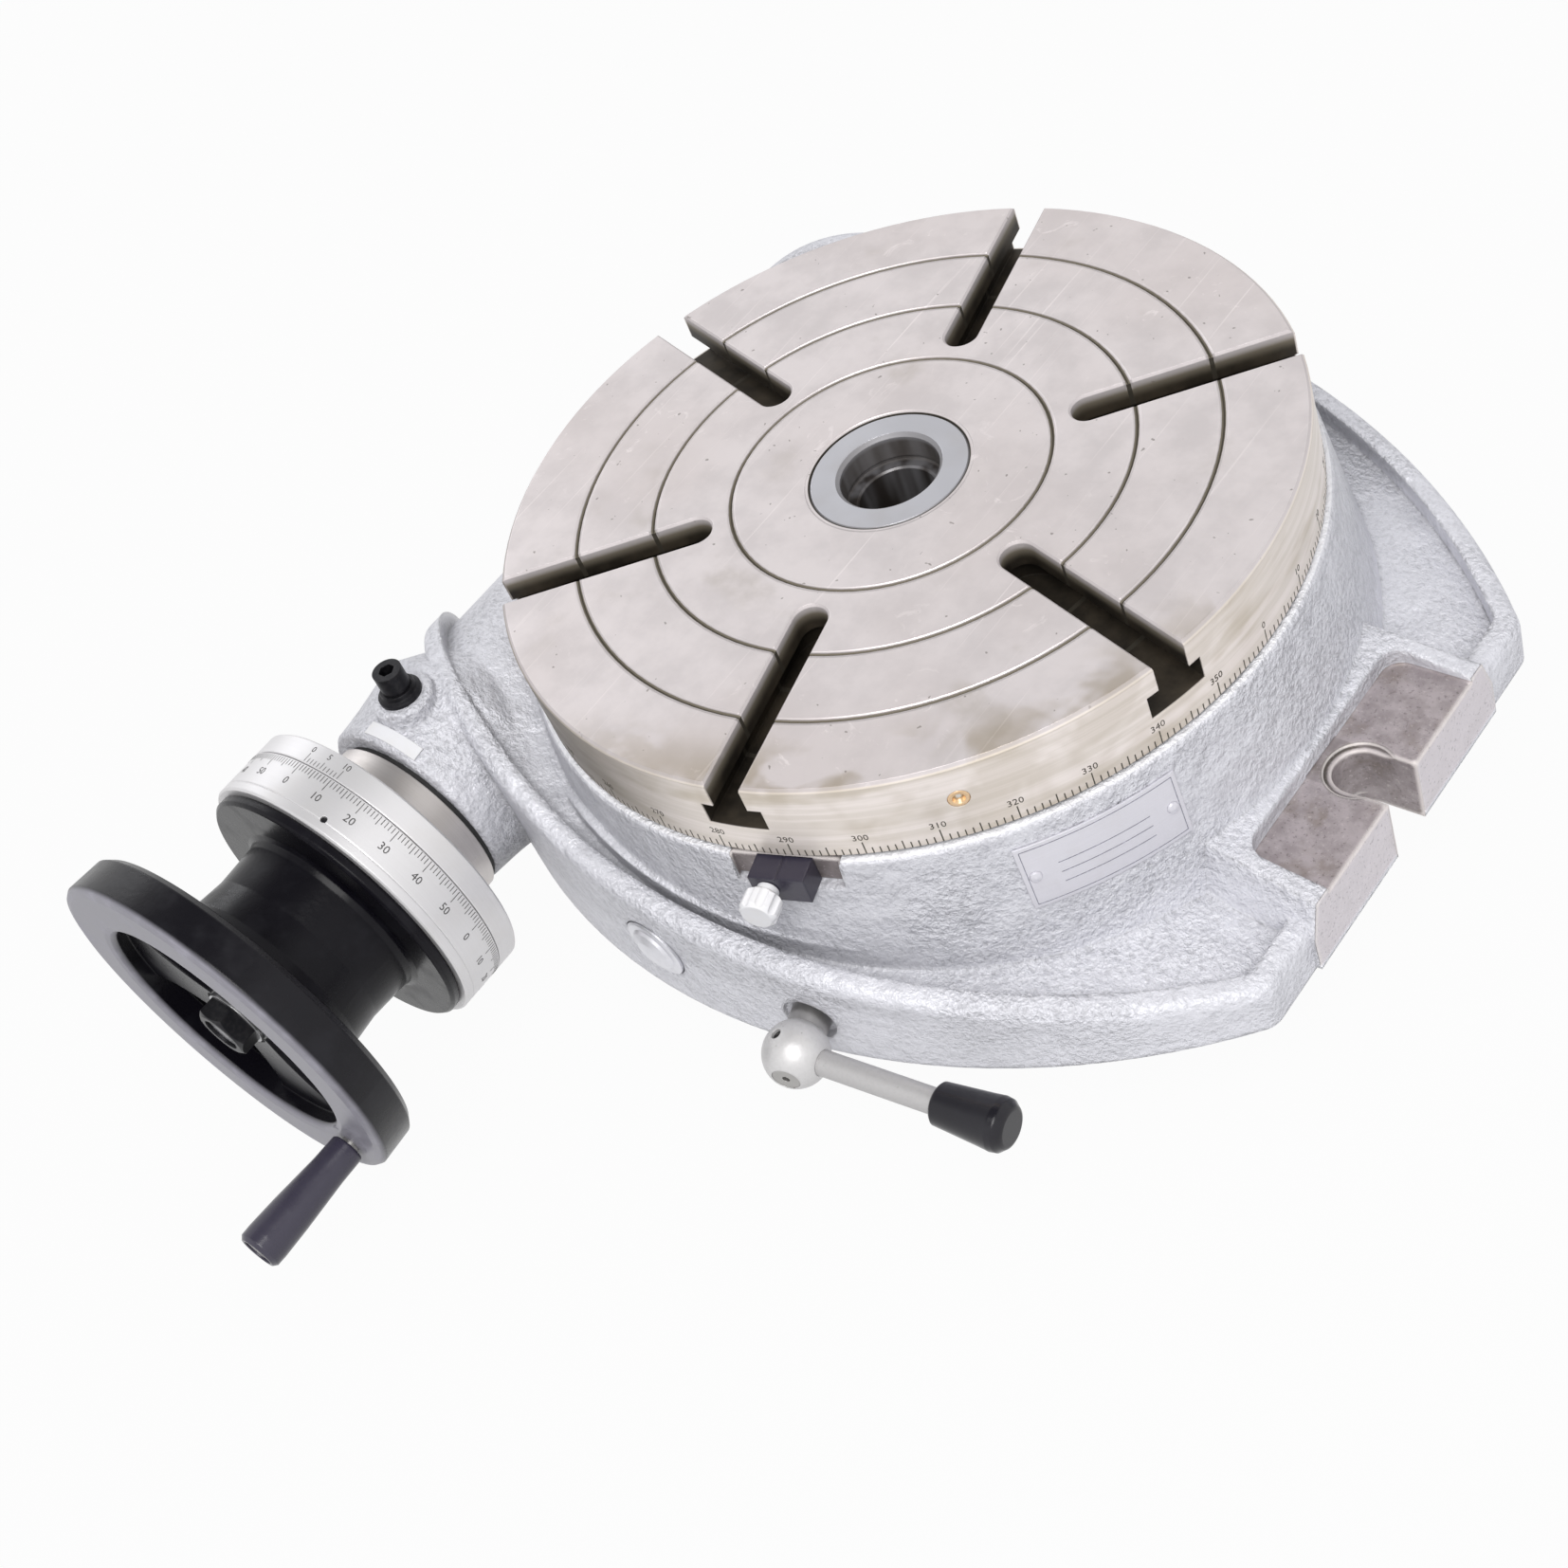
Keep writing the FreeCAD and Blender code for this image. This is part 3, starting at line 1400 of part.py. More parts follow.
parts = {
    "base_casting": base_casting,
    "table_top": table_top,
    "centre_sleeve": centre_sleeve,
    "worm_wheel": worm_wheel,
    "wheel_screws": wheel_screws,
    "wheel_dowels": lambda: group([wheel_dowel(k) for k in range(2)]),
    "retaining_disc": retaining_disc,
    "disc_screws": disc_screws,
    "ball_oiler_body": ball_oiler_body,
    "ball_oiler_ball": ball_oiler_ball,
    "eccentric_sleeve": eccentric_sleeve,
    "seal_ring": seal_ring,
    "front_bushes": front_bushes,
    "rear_bush": rear_bush,
    "rear_cover": rear_cover,
    "cover_screws": cover_screws,
    "vernier_ring": vernier_ring,
    "worm_shaft": worm_shaft,
    "thrust_ring": thrust_ring,
    "lock_nuts": lock_nuts,
    "dial_ring": dial_ring,
    "dial_screw": dial_screw,
    "dial_hub": dial_hub,
    "drive_key": drive_key,
    "handwheel": handwheel,
    "wheel_washer": wheel_washer,
    "wheel_nut": wheel_nut,
    "handle_stud": handle_stud,
    "handle_grip": handle_grip,
    "clamp_screw": clamp_screw,
    "clamp_shoe": clamp_shoe,
    "lever_ball": lever_ball,
    "lever_set_screw": lever_set_screw,
    "lever_arm": lever_arm,
    "lever_knob": lever_knob,
    "lock_collar": lock_collar,
    "lock_screw": lock_screw,
    "sight_plug": sight_plug,
    "zero_pointer": zero_pointer,
    "thumb_screw": thumb_screw,
    "nameplate": nameplate,
    "plate_rivets": plate_rivets,
    "housing_label": housing_label,
}

os.makedirs("parts", exist_ok=True)
for name, build in parts.items():
    shape = build()
    shape.exportStep("parts/" + name + ".step")
    print(name, "valid" if shape.isValid() else "NOT VALID", "solids", len(shape.Solids),
          "volume", round(shape.Volume / 1000, 2), "cm3")
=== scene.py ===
import math

import bpy
import numpy as np
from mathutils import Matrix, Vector


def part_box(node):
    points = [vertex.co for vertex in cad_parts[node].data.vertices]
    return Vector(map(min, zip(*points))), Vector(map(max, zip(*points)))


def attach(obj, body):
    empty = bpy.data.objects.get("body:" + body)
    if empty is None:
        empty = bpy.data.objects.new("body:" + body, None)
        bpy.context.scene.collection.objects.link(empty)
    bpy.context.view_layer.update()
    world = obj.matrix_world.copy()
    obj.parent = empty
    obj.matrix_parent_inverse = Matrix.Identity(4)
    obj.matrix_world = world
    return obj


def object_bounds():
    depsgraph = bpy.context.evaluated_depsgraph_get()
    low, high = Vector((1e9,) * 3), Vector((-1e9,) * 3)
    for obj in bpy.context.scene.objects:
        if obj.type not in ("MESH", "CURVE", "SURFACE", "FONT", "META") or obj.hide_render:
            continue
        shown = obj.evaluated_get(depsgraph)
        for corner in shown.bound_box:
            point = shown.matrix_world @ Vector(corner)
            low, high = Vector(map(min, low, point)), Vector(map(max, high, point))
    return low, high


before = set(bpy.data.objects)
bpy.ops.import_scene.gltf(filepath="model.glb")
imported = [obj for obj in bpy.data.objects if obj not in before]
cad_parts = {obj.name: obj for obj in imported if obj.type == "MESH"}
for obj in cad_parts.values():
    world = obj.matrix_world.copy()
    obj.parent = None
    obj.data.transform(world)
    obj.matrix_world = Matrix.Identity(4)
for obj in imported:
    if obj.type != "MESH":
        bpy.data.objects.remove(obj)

bl_info = {
    "name": "Rotary Table Looks",
    "version": (1, 0, 0),
    "blender": (4, 5, 0),
    "location": "View3D > Sidebar > Rotary Table",
    "description": "Dresses the packed rotary table in paint, ground iron, satin and black, in a studio",
    "category": "Object",
}

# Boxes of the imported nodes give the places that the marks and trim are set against.
cad_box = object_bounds()
table_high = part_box("table_top")[1]
dial_low, dial_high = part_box("dial_ring")
vernier_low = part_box("vernier_ring")[0]
pointer_low, pointer_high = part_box("zero_pointer")

table_face_height = table_high.z
table_radius = table_high.y
table_under = 0.0868
groove_circles = (0.064, 0.096, 0.128)
# Milled faces of the cast base, in metres from the table's axis, from a middle line or from the floor.
lug_end = 0.205
pad_face = 0.0298
pad_start = 0.1716
pad_half_width = 0.0534
slot_half_width = 0.0108
spot_face_place = 0.1877
spot_face_radius = 0.0140
pointer_half_width = 0.0219
pointer_floor = pointer_low.z + 0.0004
collar_inner = 0.1578
collar_outer = 0.1622
collar_top = pointer_high.z - 0.0002
drum_foot = 0.1765
# Direction of the zero pointer and its recess.
pointer_azimuth = math.radians(-71.5)
worm_axis = Vector(((dial_low.x + dial_high.x) / 2, 0, (dial_low.z + dial_high.z) / 2))
dial_radius = (dial_high.x - dial_low.x) / 2


class Level:
    """A number inside a material. Arithmetic on it adds Math nodes."""

    def __init__(self, finish, socket):
        self.finish = finish
        self.socket = socket

    def reckon(self, operation, *terms, clamp=False):
        settings = {"operation": operation, "use_clamp": clamp}
        return self.finish.node("ShaderNodeMath", settings, dict(enumerate(terms)))

    def __add__(self, other):
        return self.reckon("ADD", self, other)

    __radd__ = __add__

    def __sub__(self, other):
        return self.reckon("SUBTRACT", self, other)

    def __rsub__(self, other):
        return self.reckon("SUBTRACT", other, self)

    def __mul__(self, other):
        return self.reckon("MULTIPLY", self, other)

    __rmul__ = __mul__

    def __truediv__(self, other):
        return self.reckon("DIVIDE", self, other)

    def __rtruediv__(self, other):
        return self.reckon("DIVIDE", other, self)

    def __pow__(self, other):
        return self.reckon("POWER", self, other)

    def clamped(self):
        return self.reckon("ADD", self, 0.0, clamp=True)

    def largest(self, other):
        return self.reckon("MAXIMUM", self, other)

    def size(self):
        return self.reckon("ABSOLUTE", self)

    def near(self, value, reach, soft=0.0002):
        """1 within a reach of a value, falling to 0 over a soft margin."""
        return (self - value).size().rise(reach + soft, reach)

    def rise(self, low, high):
        """Smooth step from 0 at low to 1 at high."""
        settings = {"interpolation_type": "SMOOTHSTEP"}
        return self.finish.node("ShaderNodeMapRange", settings, {0: self, 1: low, 2: high, 3: 0.0, 4: 1.0})


class Finish:
    """A material, or the world, in the making. One method adds any node."""

    def __init__(self, owner, place="Object"):
        self.material = bpy.data.materials.new(owner) if isinstance(owner, str) else owner
        self.material.use_nodes = True
        self.tree = self.material.node_tree
        self.tree.nodes.clear()
        self.place = self.node("ShaderNodeTexCoord", output=place)

    def node(self, kind, settings=None, sockets=None, output=0):
        made = self.tree.nodes.new(kind)
        for key, value in (settings or {}).items():
            if key == "stops":
                self.set_stops(made.color_ramp, value)
            else:
                setattr(made, key, value)
        for key, value in (sockets or {}).items():
            if isinstance(value, Level):
                self.tree.links.new(value.socket, made.inputs[key])
            else:
                made.inputs[key].default_value = value
        return Level(self, made.outputs[output])

    def set_stops(self, ramp, stops):
        while len(ramp.elements) < len(stops):
            ramp.elements.new(0.5)
        for element, (position, colour) in zip(ramp.elements, stops):
            element.position = position
            element.color = colour

    def noise(self, scale, detail=2.0, roughness=0.5, distortion=0.0, place=None):
        sockets = {"Vector": place or self.place, "Scale": scale, "Detail": detail,
                   "Roughness": roughness, "Distortion": distortion}
        return self.node("ShaderNodeTexNoise", {"noise_dimensions": "3D"}, sockets)

    def stretched(self, factors, turn=(0, 0, 0)):
        """Object place scaled by a factor along each axis after a turn."""
        return self.node("ShaderNodeMapping", {"vector_type": "POINT"},
                         {"Vector": self.place, "Rotation": turn, "Scale": factors})

    def axes(self):
        """The three parts of the object place, in metres."""
        parts = self.tree.nodes.new("ShaderNodeSeparateXYZ")
        self.tree.links.new(self.place.socket, parts.inputs[0])
        return [Level(self, out) for out in parts.outputs]

    def facing(self):
        """Upright part of the surface's direction: 1 faces up, 0 is a wall and -1 faces down."""
        parts = self.tree.nodes.new("ShaderNodeSeparateXYZ")
        self.tree.links.new(self.node("ShaderNodeTexCoord", output="Normal").socket, parts.inputs[0])
        return Level(self, parts.outputs[2])

    def round_place(self, radius, along, up):
        """Place unrolled round the upright axis: way round, height and reach, each times a factor."""
        x, y, z = self.axes()
        turn = y.reckon("ARCTAN2", y, x) * (radius * along)
        reach = (x * x + y * y) ** 0.5
        return self.node("ShaderNodeCombineXYZ", {}, {0: turn, 1: z * up, 2: reach * along})

    def blend(self, share, first, second):
        """Colour between two colours or links."""
        made = self.tree.nodes.new("ShaderNodeMix")
        made.data_type = "RGBA"
        for key, value in ((0, share), (6, first), (7, second)):
            if isinstance(value, Level):
                self.tree.links.new(value.socket, made.inputs[key])
            else:
                made.inputs[key].default_value = value
        return Level(self, made.outputs[2])

    def rounded(self, radius):
        """Surface normal with its edges rounded over a radius in metres."""
        return self.node("ShaderNodeBevel", {"samples": 6}, {"Radius": radius})

    def relief(self, height, depth, normal=None):
        """Normal of a height field. Depth is in metres."""
        sockets = {"Height": height, "Distance": depth, "Strength": 1.0}
        if normal is not None:
            sockets["Normal"] = normal
        return self.node("ShaderNodeBump", {}, sockets)

    def shade(self, **sockets):
        """Principled surface. Names are the sockets' names with underscores for spaces."""
        named = {key.replace("_", " "): value for key, value in sockets.items()}
        surface = self.node("ShaderNodeBsdfPrincipled", {}, named)
        self.node_out(surface)
        return self.material

    def node_out(self, surface, kind="ShaderNodeOutputMaterial"):
        out = self.tree.nodes.new(kind)
        self.tree.links.new(surface.socket, out.inputs["Surface"])

    def seen(self):
        """1 for rays that show the background: straight from the camera, mirrored or through glass."""
        paths = [self.node("ShaderNodeLightPath", output=way)
                 for way in ("Is Camera Ray", "Is Glossy Ray", "Is Transmission Ray")]
        return paths[0].largest(paths[1]).largest(paths[2])


def solid(colour):
    return (colour[0], colour[1], colour[2], 1.0)


def tinted(colour, factor):
    return (colour[0] * factor, colour[1] * factor, colour[2] * factor, 1.0)


def warmed(colour, green, blue, factor):
    """Darker and warmer tone: green and blue are taken down by their own shares."""
    return tinted((colour[0], colour[1] * green, colour[2] * blue), factor)


def edge_mask(finish, distance, low=0.46, high=0.85):
    """Near 1 on outer edges, where a short ray inside the body soon leaves it."""
    inside = finish.node("ShaderNodeAmbientOcclusion", {"inside": True, "samples": 6, "only_local": True},
                         {"Distance": distance}, output="AO")
    return (1 - inside).rise(low, high)


def painted_corner_shade(finish, distance):
    """Near 1 deep in inner corners: the mask for painted shade there."""
    open_share = finish.node("ShaderNodeAmbientOcclusion", {"samples": 6, "only_local": True},
                             {"Distance": distance}, output="AO")
    return (1 - open_share).rise(0.22, 0.80)


def hammered_paint(name, colour, lump, milled=True):
    """Silver paint over a rough casting, with bright crests, worn and with painted highlight, and, on the
    base, milled faces. Painted shade lies in pits, inner corners, on the drum wall and on undersides,
    painted highlights on lumps, the rim's top and milled edges, and low steep faces are lightened.
    """
    f = Finish(name)
    x, y, z = f.axes()
    lumps = f.noise(1 / lump, 2.5, 0.58)
    grit = f.noise(2.9 / lump, 2.0, 0.6)
    swell = f.noise(0.16 / lump, 2.0, 0.5)
    rough_zone = f.noise(0.045 / lump, 1.0, 0.5).rise(0.38, 0.62)
    shaded_pits = lumps.rise(0.56, 0.30)
    painted_glints = grit.rise(0.60, 0.78) * lumps.rise(0.45, 0.62)
    worn = edge_mask(f, 0.008)
    # Painted shade in the hammer pits, stronger in the rough zones.
    base = f.blend(shaded_pits * (0.34 + rough_zone * 0.32), solid(colour), tinted(colour, 0.62))
    base = f.blend(swell.rise(0.35, 0.7) * 0.30, base, tinted(colour, 0.82))
    # Painted shade deep in inner corners.
    base = f.blend(painted_corner_shade(f, 0.030) * 0.60, base, tinted(colour, 0.42))
    slope = f.facing()
    steep = slope.size().rise(0.55, 0.20)
    radius = (x * x + y * y) ** 0.5
    drum_wall = radius.rise(drum_foot, drum_foot - 0.005)
    # Painted shade on the drum's steep wall, darker towards -x.
    painted_wall_shade = steep * drum_wall * z.rise(0.032, 0.048) * x.rise(0.190, -0.060) * 0.62
    base = f.blend(painted_wall_shade, base, tinted(colour, 0.62))
    # Painted light: steep faces low on the casting are lightened.
    base = f.blend(steep * z.rise(0.034, 0.026) * 0.40, base, tinted(colour, 1.25))
    # Painted shade on faces that look down.
    base = f.blend(slope.rise(-0.05, -0.60) * 0.70, base, tinted(colour, 0.35))
    # Painted glints on the lumps, and outer edges whitened: partly paint wear, partly painted highlight.
    base = f.blend((painted_glints * 0.75 + worn * 0.80).clamped(), base, (0.95, 0.95, 0.98, 1))
    roughness = 0.42 - worn * 0.14 - painted_glints * 0.08 + shaded_pits * 0.10
    height = (lumps * 0.75 + grit * 0.18) * (0.65 + rough_zone * 0.7) + swell * 1.6
    metallic = 0.24 + worn * 0.3
    if milled:
        # Painted highlight on the rim's top face under the table.
        painted_rim_highlight = z.rise(collar_top - 0.0004, collar_top) * radius.rise(0.1650, 0.1636)
        base = f.blend(painted_rim_highlight * 0.75, base, (0.95, 0.95, 0.98, 1))
        bare, dark = milled_places(f)
        stone = f.noise(130.0, 4.0, 0.65)
        rust = f.noise(60.0, 3.0, 0.6)
        metal = f.blend(stone.rise(0.35, 0.68), (0.50, 0.445, 0.460, 1), (0.37, 0.325, 0.333, 1))
        metal = f.blend(rust.rise(0.5, 0.75) * 0.6, metal, (0.22, 0.175, 0.13, 1))
        end_face = x.size().rise(lug_end - 0.0005, lug_end - 0.0003)
        metal = f.blend(end_face * 0.75, metal, (0.76, 0.705, 0.735, 1))
        metal = f.blend(dark, metal, (0.085, 0.072, 0.062, 1))
        chips = f.noise(640.0, 2.0, 0.6)
        metal = f.blend(chips.rise(0.62, 0.70) * 0.45, metal, (0.66, 0.60, 0.60, 1))
        metal = f.blend(chips.rise(0.40, 0.32) * 0.45, metal, (0.13, 0.11, 0.11, 1))
        # Painted highlight along the milled faces' outer edges.
        metal = f.blend(edge_mask(f, 0.0026, 0.16, 0.42) * 0.9, metal, (0.90, 0.84, 0.82, 1))
        cutter = f.noise(1.0, 2.0, 0.5, place=f.stretched((150.0, 2600.0, 150.0), (0, 0, 0.5)))
        base = f.blend(bare, base, metal)
        roughness = roughness * (1 - bare) + (0.44 + stone * 0.12) * bare
        height = height * (1 - bare * 0.97) + (cutter * 0.03 + stone * 0.02) * bare
        metallic = metallic * (1 - bare) + bare * 0.62
    normal = f.relief(height, 0.0018, f.rounded(0.0034))
    return f.shade(Base_Color=base, Roughness=roughness, Metallic=metallic, Normal=normal)


def milled_places(f):
    """Masks of the bare lug faces, hold-down slots and pointer recess, and of the darker places in them."""
    x, y, z = f.axes()
    reach, beside = x.size(), y.size()
    level = z.near(pad_face - 0.0006, 0.0009, 0.0001)
    within = beside.rise(pad_half_width, pad_half_width - 0.0003)
    pads = reach.rise(pad_start, pad_start + 0.0003) * within * level
    below = z.rise(pad_face + 0.0012, pad_face + 0.0008)
    inside_slot = beside.rise(slot_half_width, slot_half_width - 0.0004)
    walls = reach.rise(pad_start - 0.0016, pad_start - 0.0012) * inside_slot * below
    spot = ((reach - spot_face_place) ** 2 + beside * beside) ** 0.5
    ring = spot.rise(spot_face_radius + 0.0002, spot_face_radius - 0.0004) * pads
    ends = reach.rise(lug_end - 0.0005, lug_end - 0.0003) * z.rise(0.0012, 0.0030)
    out = x * math.cos(pointer_azimuth) + y * math.sin(pointer_azimuth)
    along = (y * math.cos(pointer_azimuth) - x * math.sin(pointer_azimuth)).size()
    across = along.rise(pointer_half_width, pointer_half_width - 0.0002)
    recess = out.rise(0.150, 0.151) * across * z.rise(pointer_floor, pointer_floor + 0.0002)
    square = x * x + y * y
    before = square.rise(collar_outer ** 2, (collar_outer - 0.0002) ** 2)
    recess = recess * before * square.rise(collar_inner ** 2, (collar_inner + 0.0002) ** 2)
    bare = (pads + walls + ends * 0.75 + recess).clamped()
    inner = spot_face_radius - 0.0028
    dark = (ring * spot.rise(inner, inner + 0.0010) * 0.7 + walls * 0.25 + recess * 0.55).clamped()
    return bare, dark


def face_scratches(f, angle, fineness, low, high):
    """Long thin streaks across the work, at an angle in radians."""
    lay = f.stretched((fineness, fineness * 0.012, fineness * 0.05), (0, 0, angle))
    return f.noise(1.0, 2.0, 0.6, place=lay).rise(low, high)


def ground_iron(name, colour, oil):
    """Ground iron table: mottled grey with light scratches, dark grooves, oil marks, and painted shade in
    its slots, on the left of its side and at the side's top edge.
    """
    f = Finish(name)
    x, y, z = f.axes()
    radius = (x * x + y * y) ** 0.5
    depth = table_face_height - z
    mottle = f.noise(42.0, 4.0, 0.62)
    cloud = f.noise(9.0, 2.0, 0.5)
    speck = f.noise(900.0, 2.0, 0.6)
    scratch_a = face_scratches(f, 0.35, 520.0, 0.64, 0.80)
    scratch_b = face_scratches(f, 1.25, 430.0, 0.66, 0.82)
    base = f.blend(mottle.rise(0.35, 0.68) * 0.6, solid(colour), tinted(colour, 0.80))
    base = f.blend(cloud.rise(0.4, 0.65) * 0.45, base, warmed(colour, 0.97, 0.95, 0.86))
    base = f.blend(((scratch_a + scratch_b) * 0.50).clamped(), base, tinted(colour, 1.28))
    scuff = f.noise(75.0, 4.0, 0.7, 1.4).rise(0.60, 0.70) * cloud.rise(0.42, 0.60)
    base = f.blend(scuff * 0.45, base, tinted(colour, 1.30))
    blot = f.noise(17.0, 3.0, 0.6, 0.4).rise(0.58, 0.72) * mottle.rise(0.3, 0.6)
    base = f.blend(blot * 0.30, base, (0.40, 0.35, 0.28, 1))
    nick = f.noise(330.0, 1.0, 0.5).rise(0.76, 0.80)
    base = f.blend(nick * 0.6, base, (0.16, 0.14, 0.12, 1))
    front = (y * -0.80 + x * 0.62).rise(0.085, 0.15)
    film = f.noise(26.0, 3.0, 0.6, 0.6).rise(0.47, 0.62)
    rim = radius.rise(0.128, 0.156)
    stain = (front * film * rim * oil).clamped()
    side = radius.rise(table_radius - 0.0008, table_radius - 0.0003)
    bands = f.noise(1.0, 3.0, 0.6, place=f.round_place(table_radius, 9.0, 260.0))
    tide = f.noise(1.0, 3.0, 0.6, place=f.round_place(table_radius, 16.0, 60.0))
    wall = f.blend(bands.rise(0.35, 0.65) * 0.6, (0.90, 0.83, 0.79, 1), (0.70, 0.64, 0.57, 1))
    wall = f.blend(tide.rise(0.52, 0.70) * 0.55, wall, (0.52, 0.45, 0.34, 1))
    wall = f.blend(z.rise(table_under + 0.010, table_under) * 0.25, wall, (0.50, 0.44, 0.35, 1))
    # Painted shade on the left-front part of the table's side, broken up by the tide marks.
    painted_left_shade = (x * -0.64 + y * -0.77).rise(0.100, 0.152)
    wall = f.blend(painted_left_shade * (0.45 + tide * 0.75), wall, (0.150, 0.128, 0.096, 1))
    # Painted shade on the side's top edge, damping its bright reflection.
    shaded_top_edge = side * depth.rise(0.0024, 0.0014)
    wall = f.blend(shaded_top_edge * 0.45, wall, (0.58, 0.53, 0.48, 1))
    base = f.blend(side, base, wall)
    base = f.blend(stain * (1 - side * 0.6), base, (0.30, 0.23, 0.12, 1))
    deep = depth.rise(0.0013, 0.0046) * (1 - side)
    cut = depth.rise(0.0002, 0.0007) * (1 - side)
    lip = depth.rise(0.00004, 0.00012) * (1 - side) * (1 - deep)
    grooves = radius.rise(0.0333, 0.0328)
    valley = radius.near(0.0326, 0.0006, 0.0008)
    for circle in groove_circles:
        grooves = grooves.largest(radius.near(circle, 0.00085, 0.0001))
        valley = valley.largest(radius.near(circle, 0.00075, 0.0011))
    seam = radius.rise(0.0326, 0.0323)
    # Slot colour: mottled, with painted shade that is near black deep in the slots and lighter towards
    # their mouths.
    slot_tone_and_shade = f.blend(mottle.rise(0.3, 0.7), (0.012, 0.009, 0.006, 1), (0.058, 0.045, 0.030, 1))
    slot_tone_and_shade = f.blend(depth.rise(0.0085, 0.0025) * 0.75, slot_tone_and_shade, (0.300, 0.262, 0.200, 1))
    base = f.blend(lip * 0.5, base, tinted(colour, 0.55))
    base = f.blend(deep, base, slot_tone_and_shade)
    base = f.blend(grooves * cut, base, (0.200, 0.175, 0.130, 1))
    groove_floor = grooves * depth.rise(0.0007, 0.0011) * (1 - side)
    base = f.blend(groove_floor.largest(seam), base, (0.050, 0.043, 0.032, 1))
    hollow = deep.largest(grooves * cut * 0.5)
    roughness = 0.33 + mottle * 0.14 + speck * 0.06 - stain * 0.12
    roughness = roughness + hollow * 0.15 + lip * 0.28 + shaded_top_edge * 0.2
    height = speck * 0.35 + (scratch_a + scratch_b) * -0.5 - nick * 0.8 + bands * side * 0.5
    normal = f.relief(1 - valley * (1 - deep) * (1 - side), 0.0007, f.rounded(0.0006))
    normal = f.relief(height, 0.00006, normal)
    metallic = (0.72 - side * 0.34) * (1 - hollow * 0.7) * (1 - lip * 0.45)
    return f.shade(Base_Color=base, Roughness=roughness, Metallic=metallic, Normal=normal)


def turned_steel(name, colour, axis, roughness=0.26, bore=0.0):
    """Turned and ground steel with fine rings square to an axis, and painted shade deep in a bore of that
    radius.
    """
    f = Finish(name)
    fine = [26.0, 26.0, 26.0]
    fine[axis] = 4200.0
    rings = f.noise(1.0, 2.0, 0.6, place=f.stretched(tuple(fine)))
    cloud = f.noise(60.0, 3.0, 0.5)
    base = f.blend(rings.rise(0.3, 0.7) * 0.35, solid(colour), tinted(colour, 0.78))
    base = f.blend(cloud.rise(0.45, 0.75) * 0.3, base, warmed(colour, 0.95, 0.88, 0.85))
    rough = roughness + rings * 0.10 + cloud * 0.08
    metallic = 0.92
    if bore:
        x, y, z = f.axes()
        reach, depth = (x * x + y * y) ** 0.5, table_face_height - z
        # Painted shade deep in the bore, darker with depth and broken by streaks.
        inside = reach.rise(bore + 0.0008, bore) * depth.rise(0.0010, 0.0038)
        streak = f.noise(1.0, 2.0, 0.6, place=f.stretched((90.0, 90.0, 12.0))).rise(0.40, 0.66)
        base = f.blend(inside * (1 - streak * 0.30), base, (0.040, 0.033, 0.029, 1))
        lip = depth.rise(0.00004, 0.00012) * reach.rise(bore - 0.002, bore - 0.001)
        base = f.blend((lip * 0.6).largest(reach.rise(0.0316, 0.0319) * 0.9), base, (0.10, 0.09, 0.085, 1))
        rough = rough + lip * 0.25
        metallic = 0.92 - inside * 0.45 - lip * 0.4
    normal = f.relief(rings, 0.00003, f.rounded(0.0004))
    return f.shade(Base_Color=base, Roughness=rough, Metallic=metallic, Normal=normal)


def bright_steel(name, colour, roughness=0.3):
    """Plain machined steel with a soft uneven sheen."""
    f = Finish(name)
    cloud = f.noise(120.0, 3.0, 0.6)
    fine = f.noise(1400.0, 2.0, 0.6)
    base = f.blend(cloud.rise(0.35, 0.7) * 0.4, solid(colour), tinted(colour, 0.8))
    normal = f.relief(fine, 0.00003, f.rounded(0.0004))
    return f.shade(Base_Color=base, Roughness=roughness + cloud * 0.12, Metallic=0.9, Normal=normal)


def bronze_metal(name, colour):
    """Cast and cut bronze, a little browner in patches."""
    f = Finish(name)
    cloud = f.noise(70.0, 4.0, 0.6)
    fine = f.noise(1100.0, 2.0, 0.6)
    base = f.blend(cloud.rise(0.35, 0.7) * 0.6, solid(colour), warmed(colour, 0.85, 0.7, 0.7))
    normal = f.relief(fine, 0.00004, f.rounded(0.0004))
    return f.shade(Base_Color=base, Roughness=0.3 + cloud * 0.15, Metallic=0.9, Normal=normal)


def black_enamel(name, colour, roughness=0.24, grain=0.00005, gloss=1.33, sheen_from=None):
    """Gloss black with a soft orange peel and dust, and a painted grey sheen in front of a station along
    the worm.
    """
    f = Finish(name)
    peel = f.noise(420.0, 2.0, 0.5)
    dust = f.noise(2600.0, 2.0, 0.5).rise(0.70, 0.80) * f.noise(90.0, 2.0, 0.5).rise(0.45, 0.7)
    scuff = f.noise(60.0, 3.0, 0.6).rise(0.45, 0.75)
    base = f.blend((dust * 0.30 + scuff * 0.05).clamped(), solid(colour), (0.11, 0.11, 0.13, 1))
    rough = roughness + scuff * 0.10 + dust * 0.2
    if sheen_from is not None:
        # Painted sheen: the face in front of the station is lightened to a grey reflection.
        painted_sheen = f.axes()[1].rise(sheen_from + 0.0030, sheen_from + 0.0006) * (0.70 + scuff * 0.30)
        base = f.blend(painted_sheen, base, (0.36, 0.350, 0.400, 1))
        rough = rough + painted_sheen * 0.12
    normal = f.relief(peel, grain, f.rounded(0.0010))
    return f.shade(Base_Color=base, Roughness=rough, Metallic=0.0, IOR=gloss, Normal=normal)


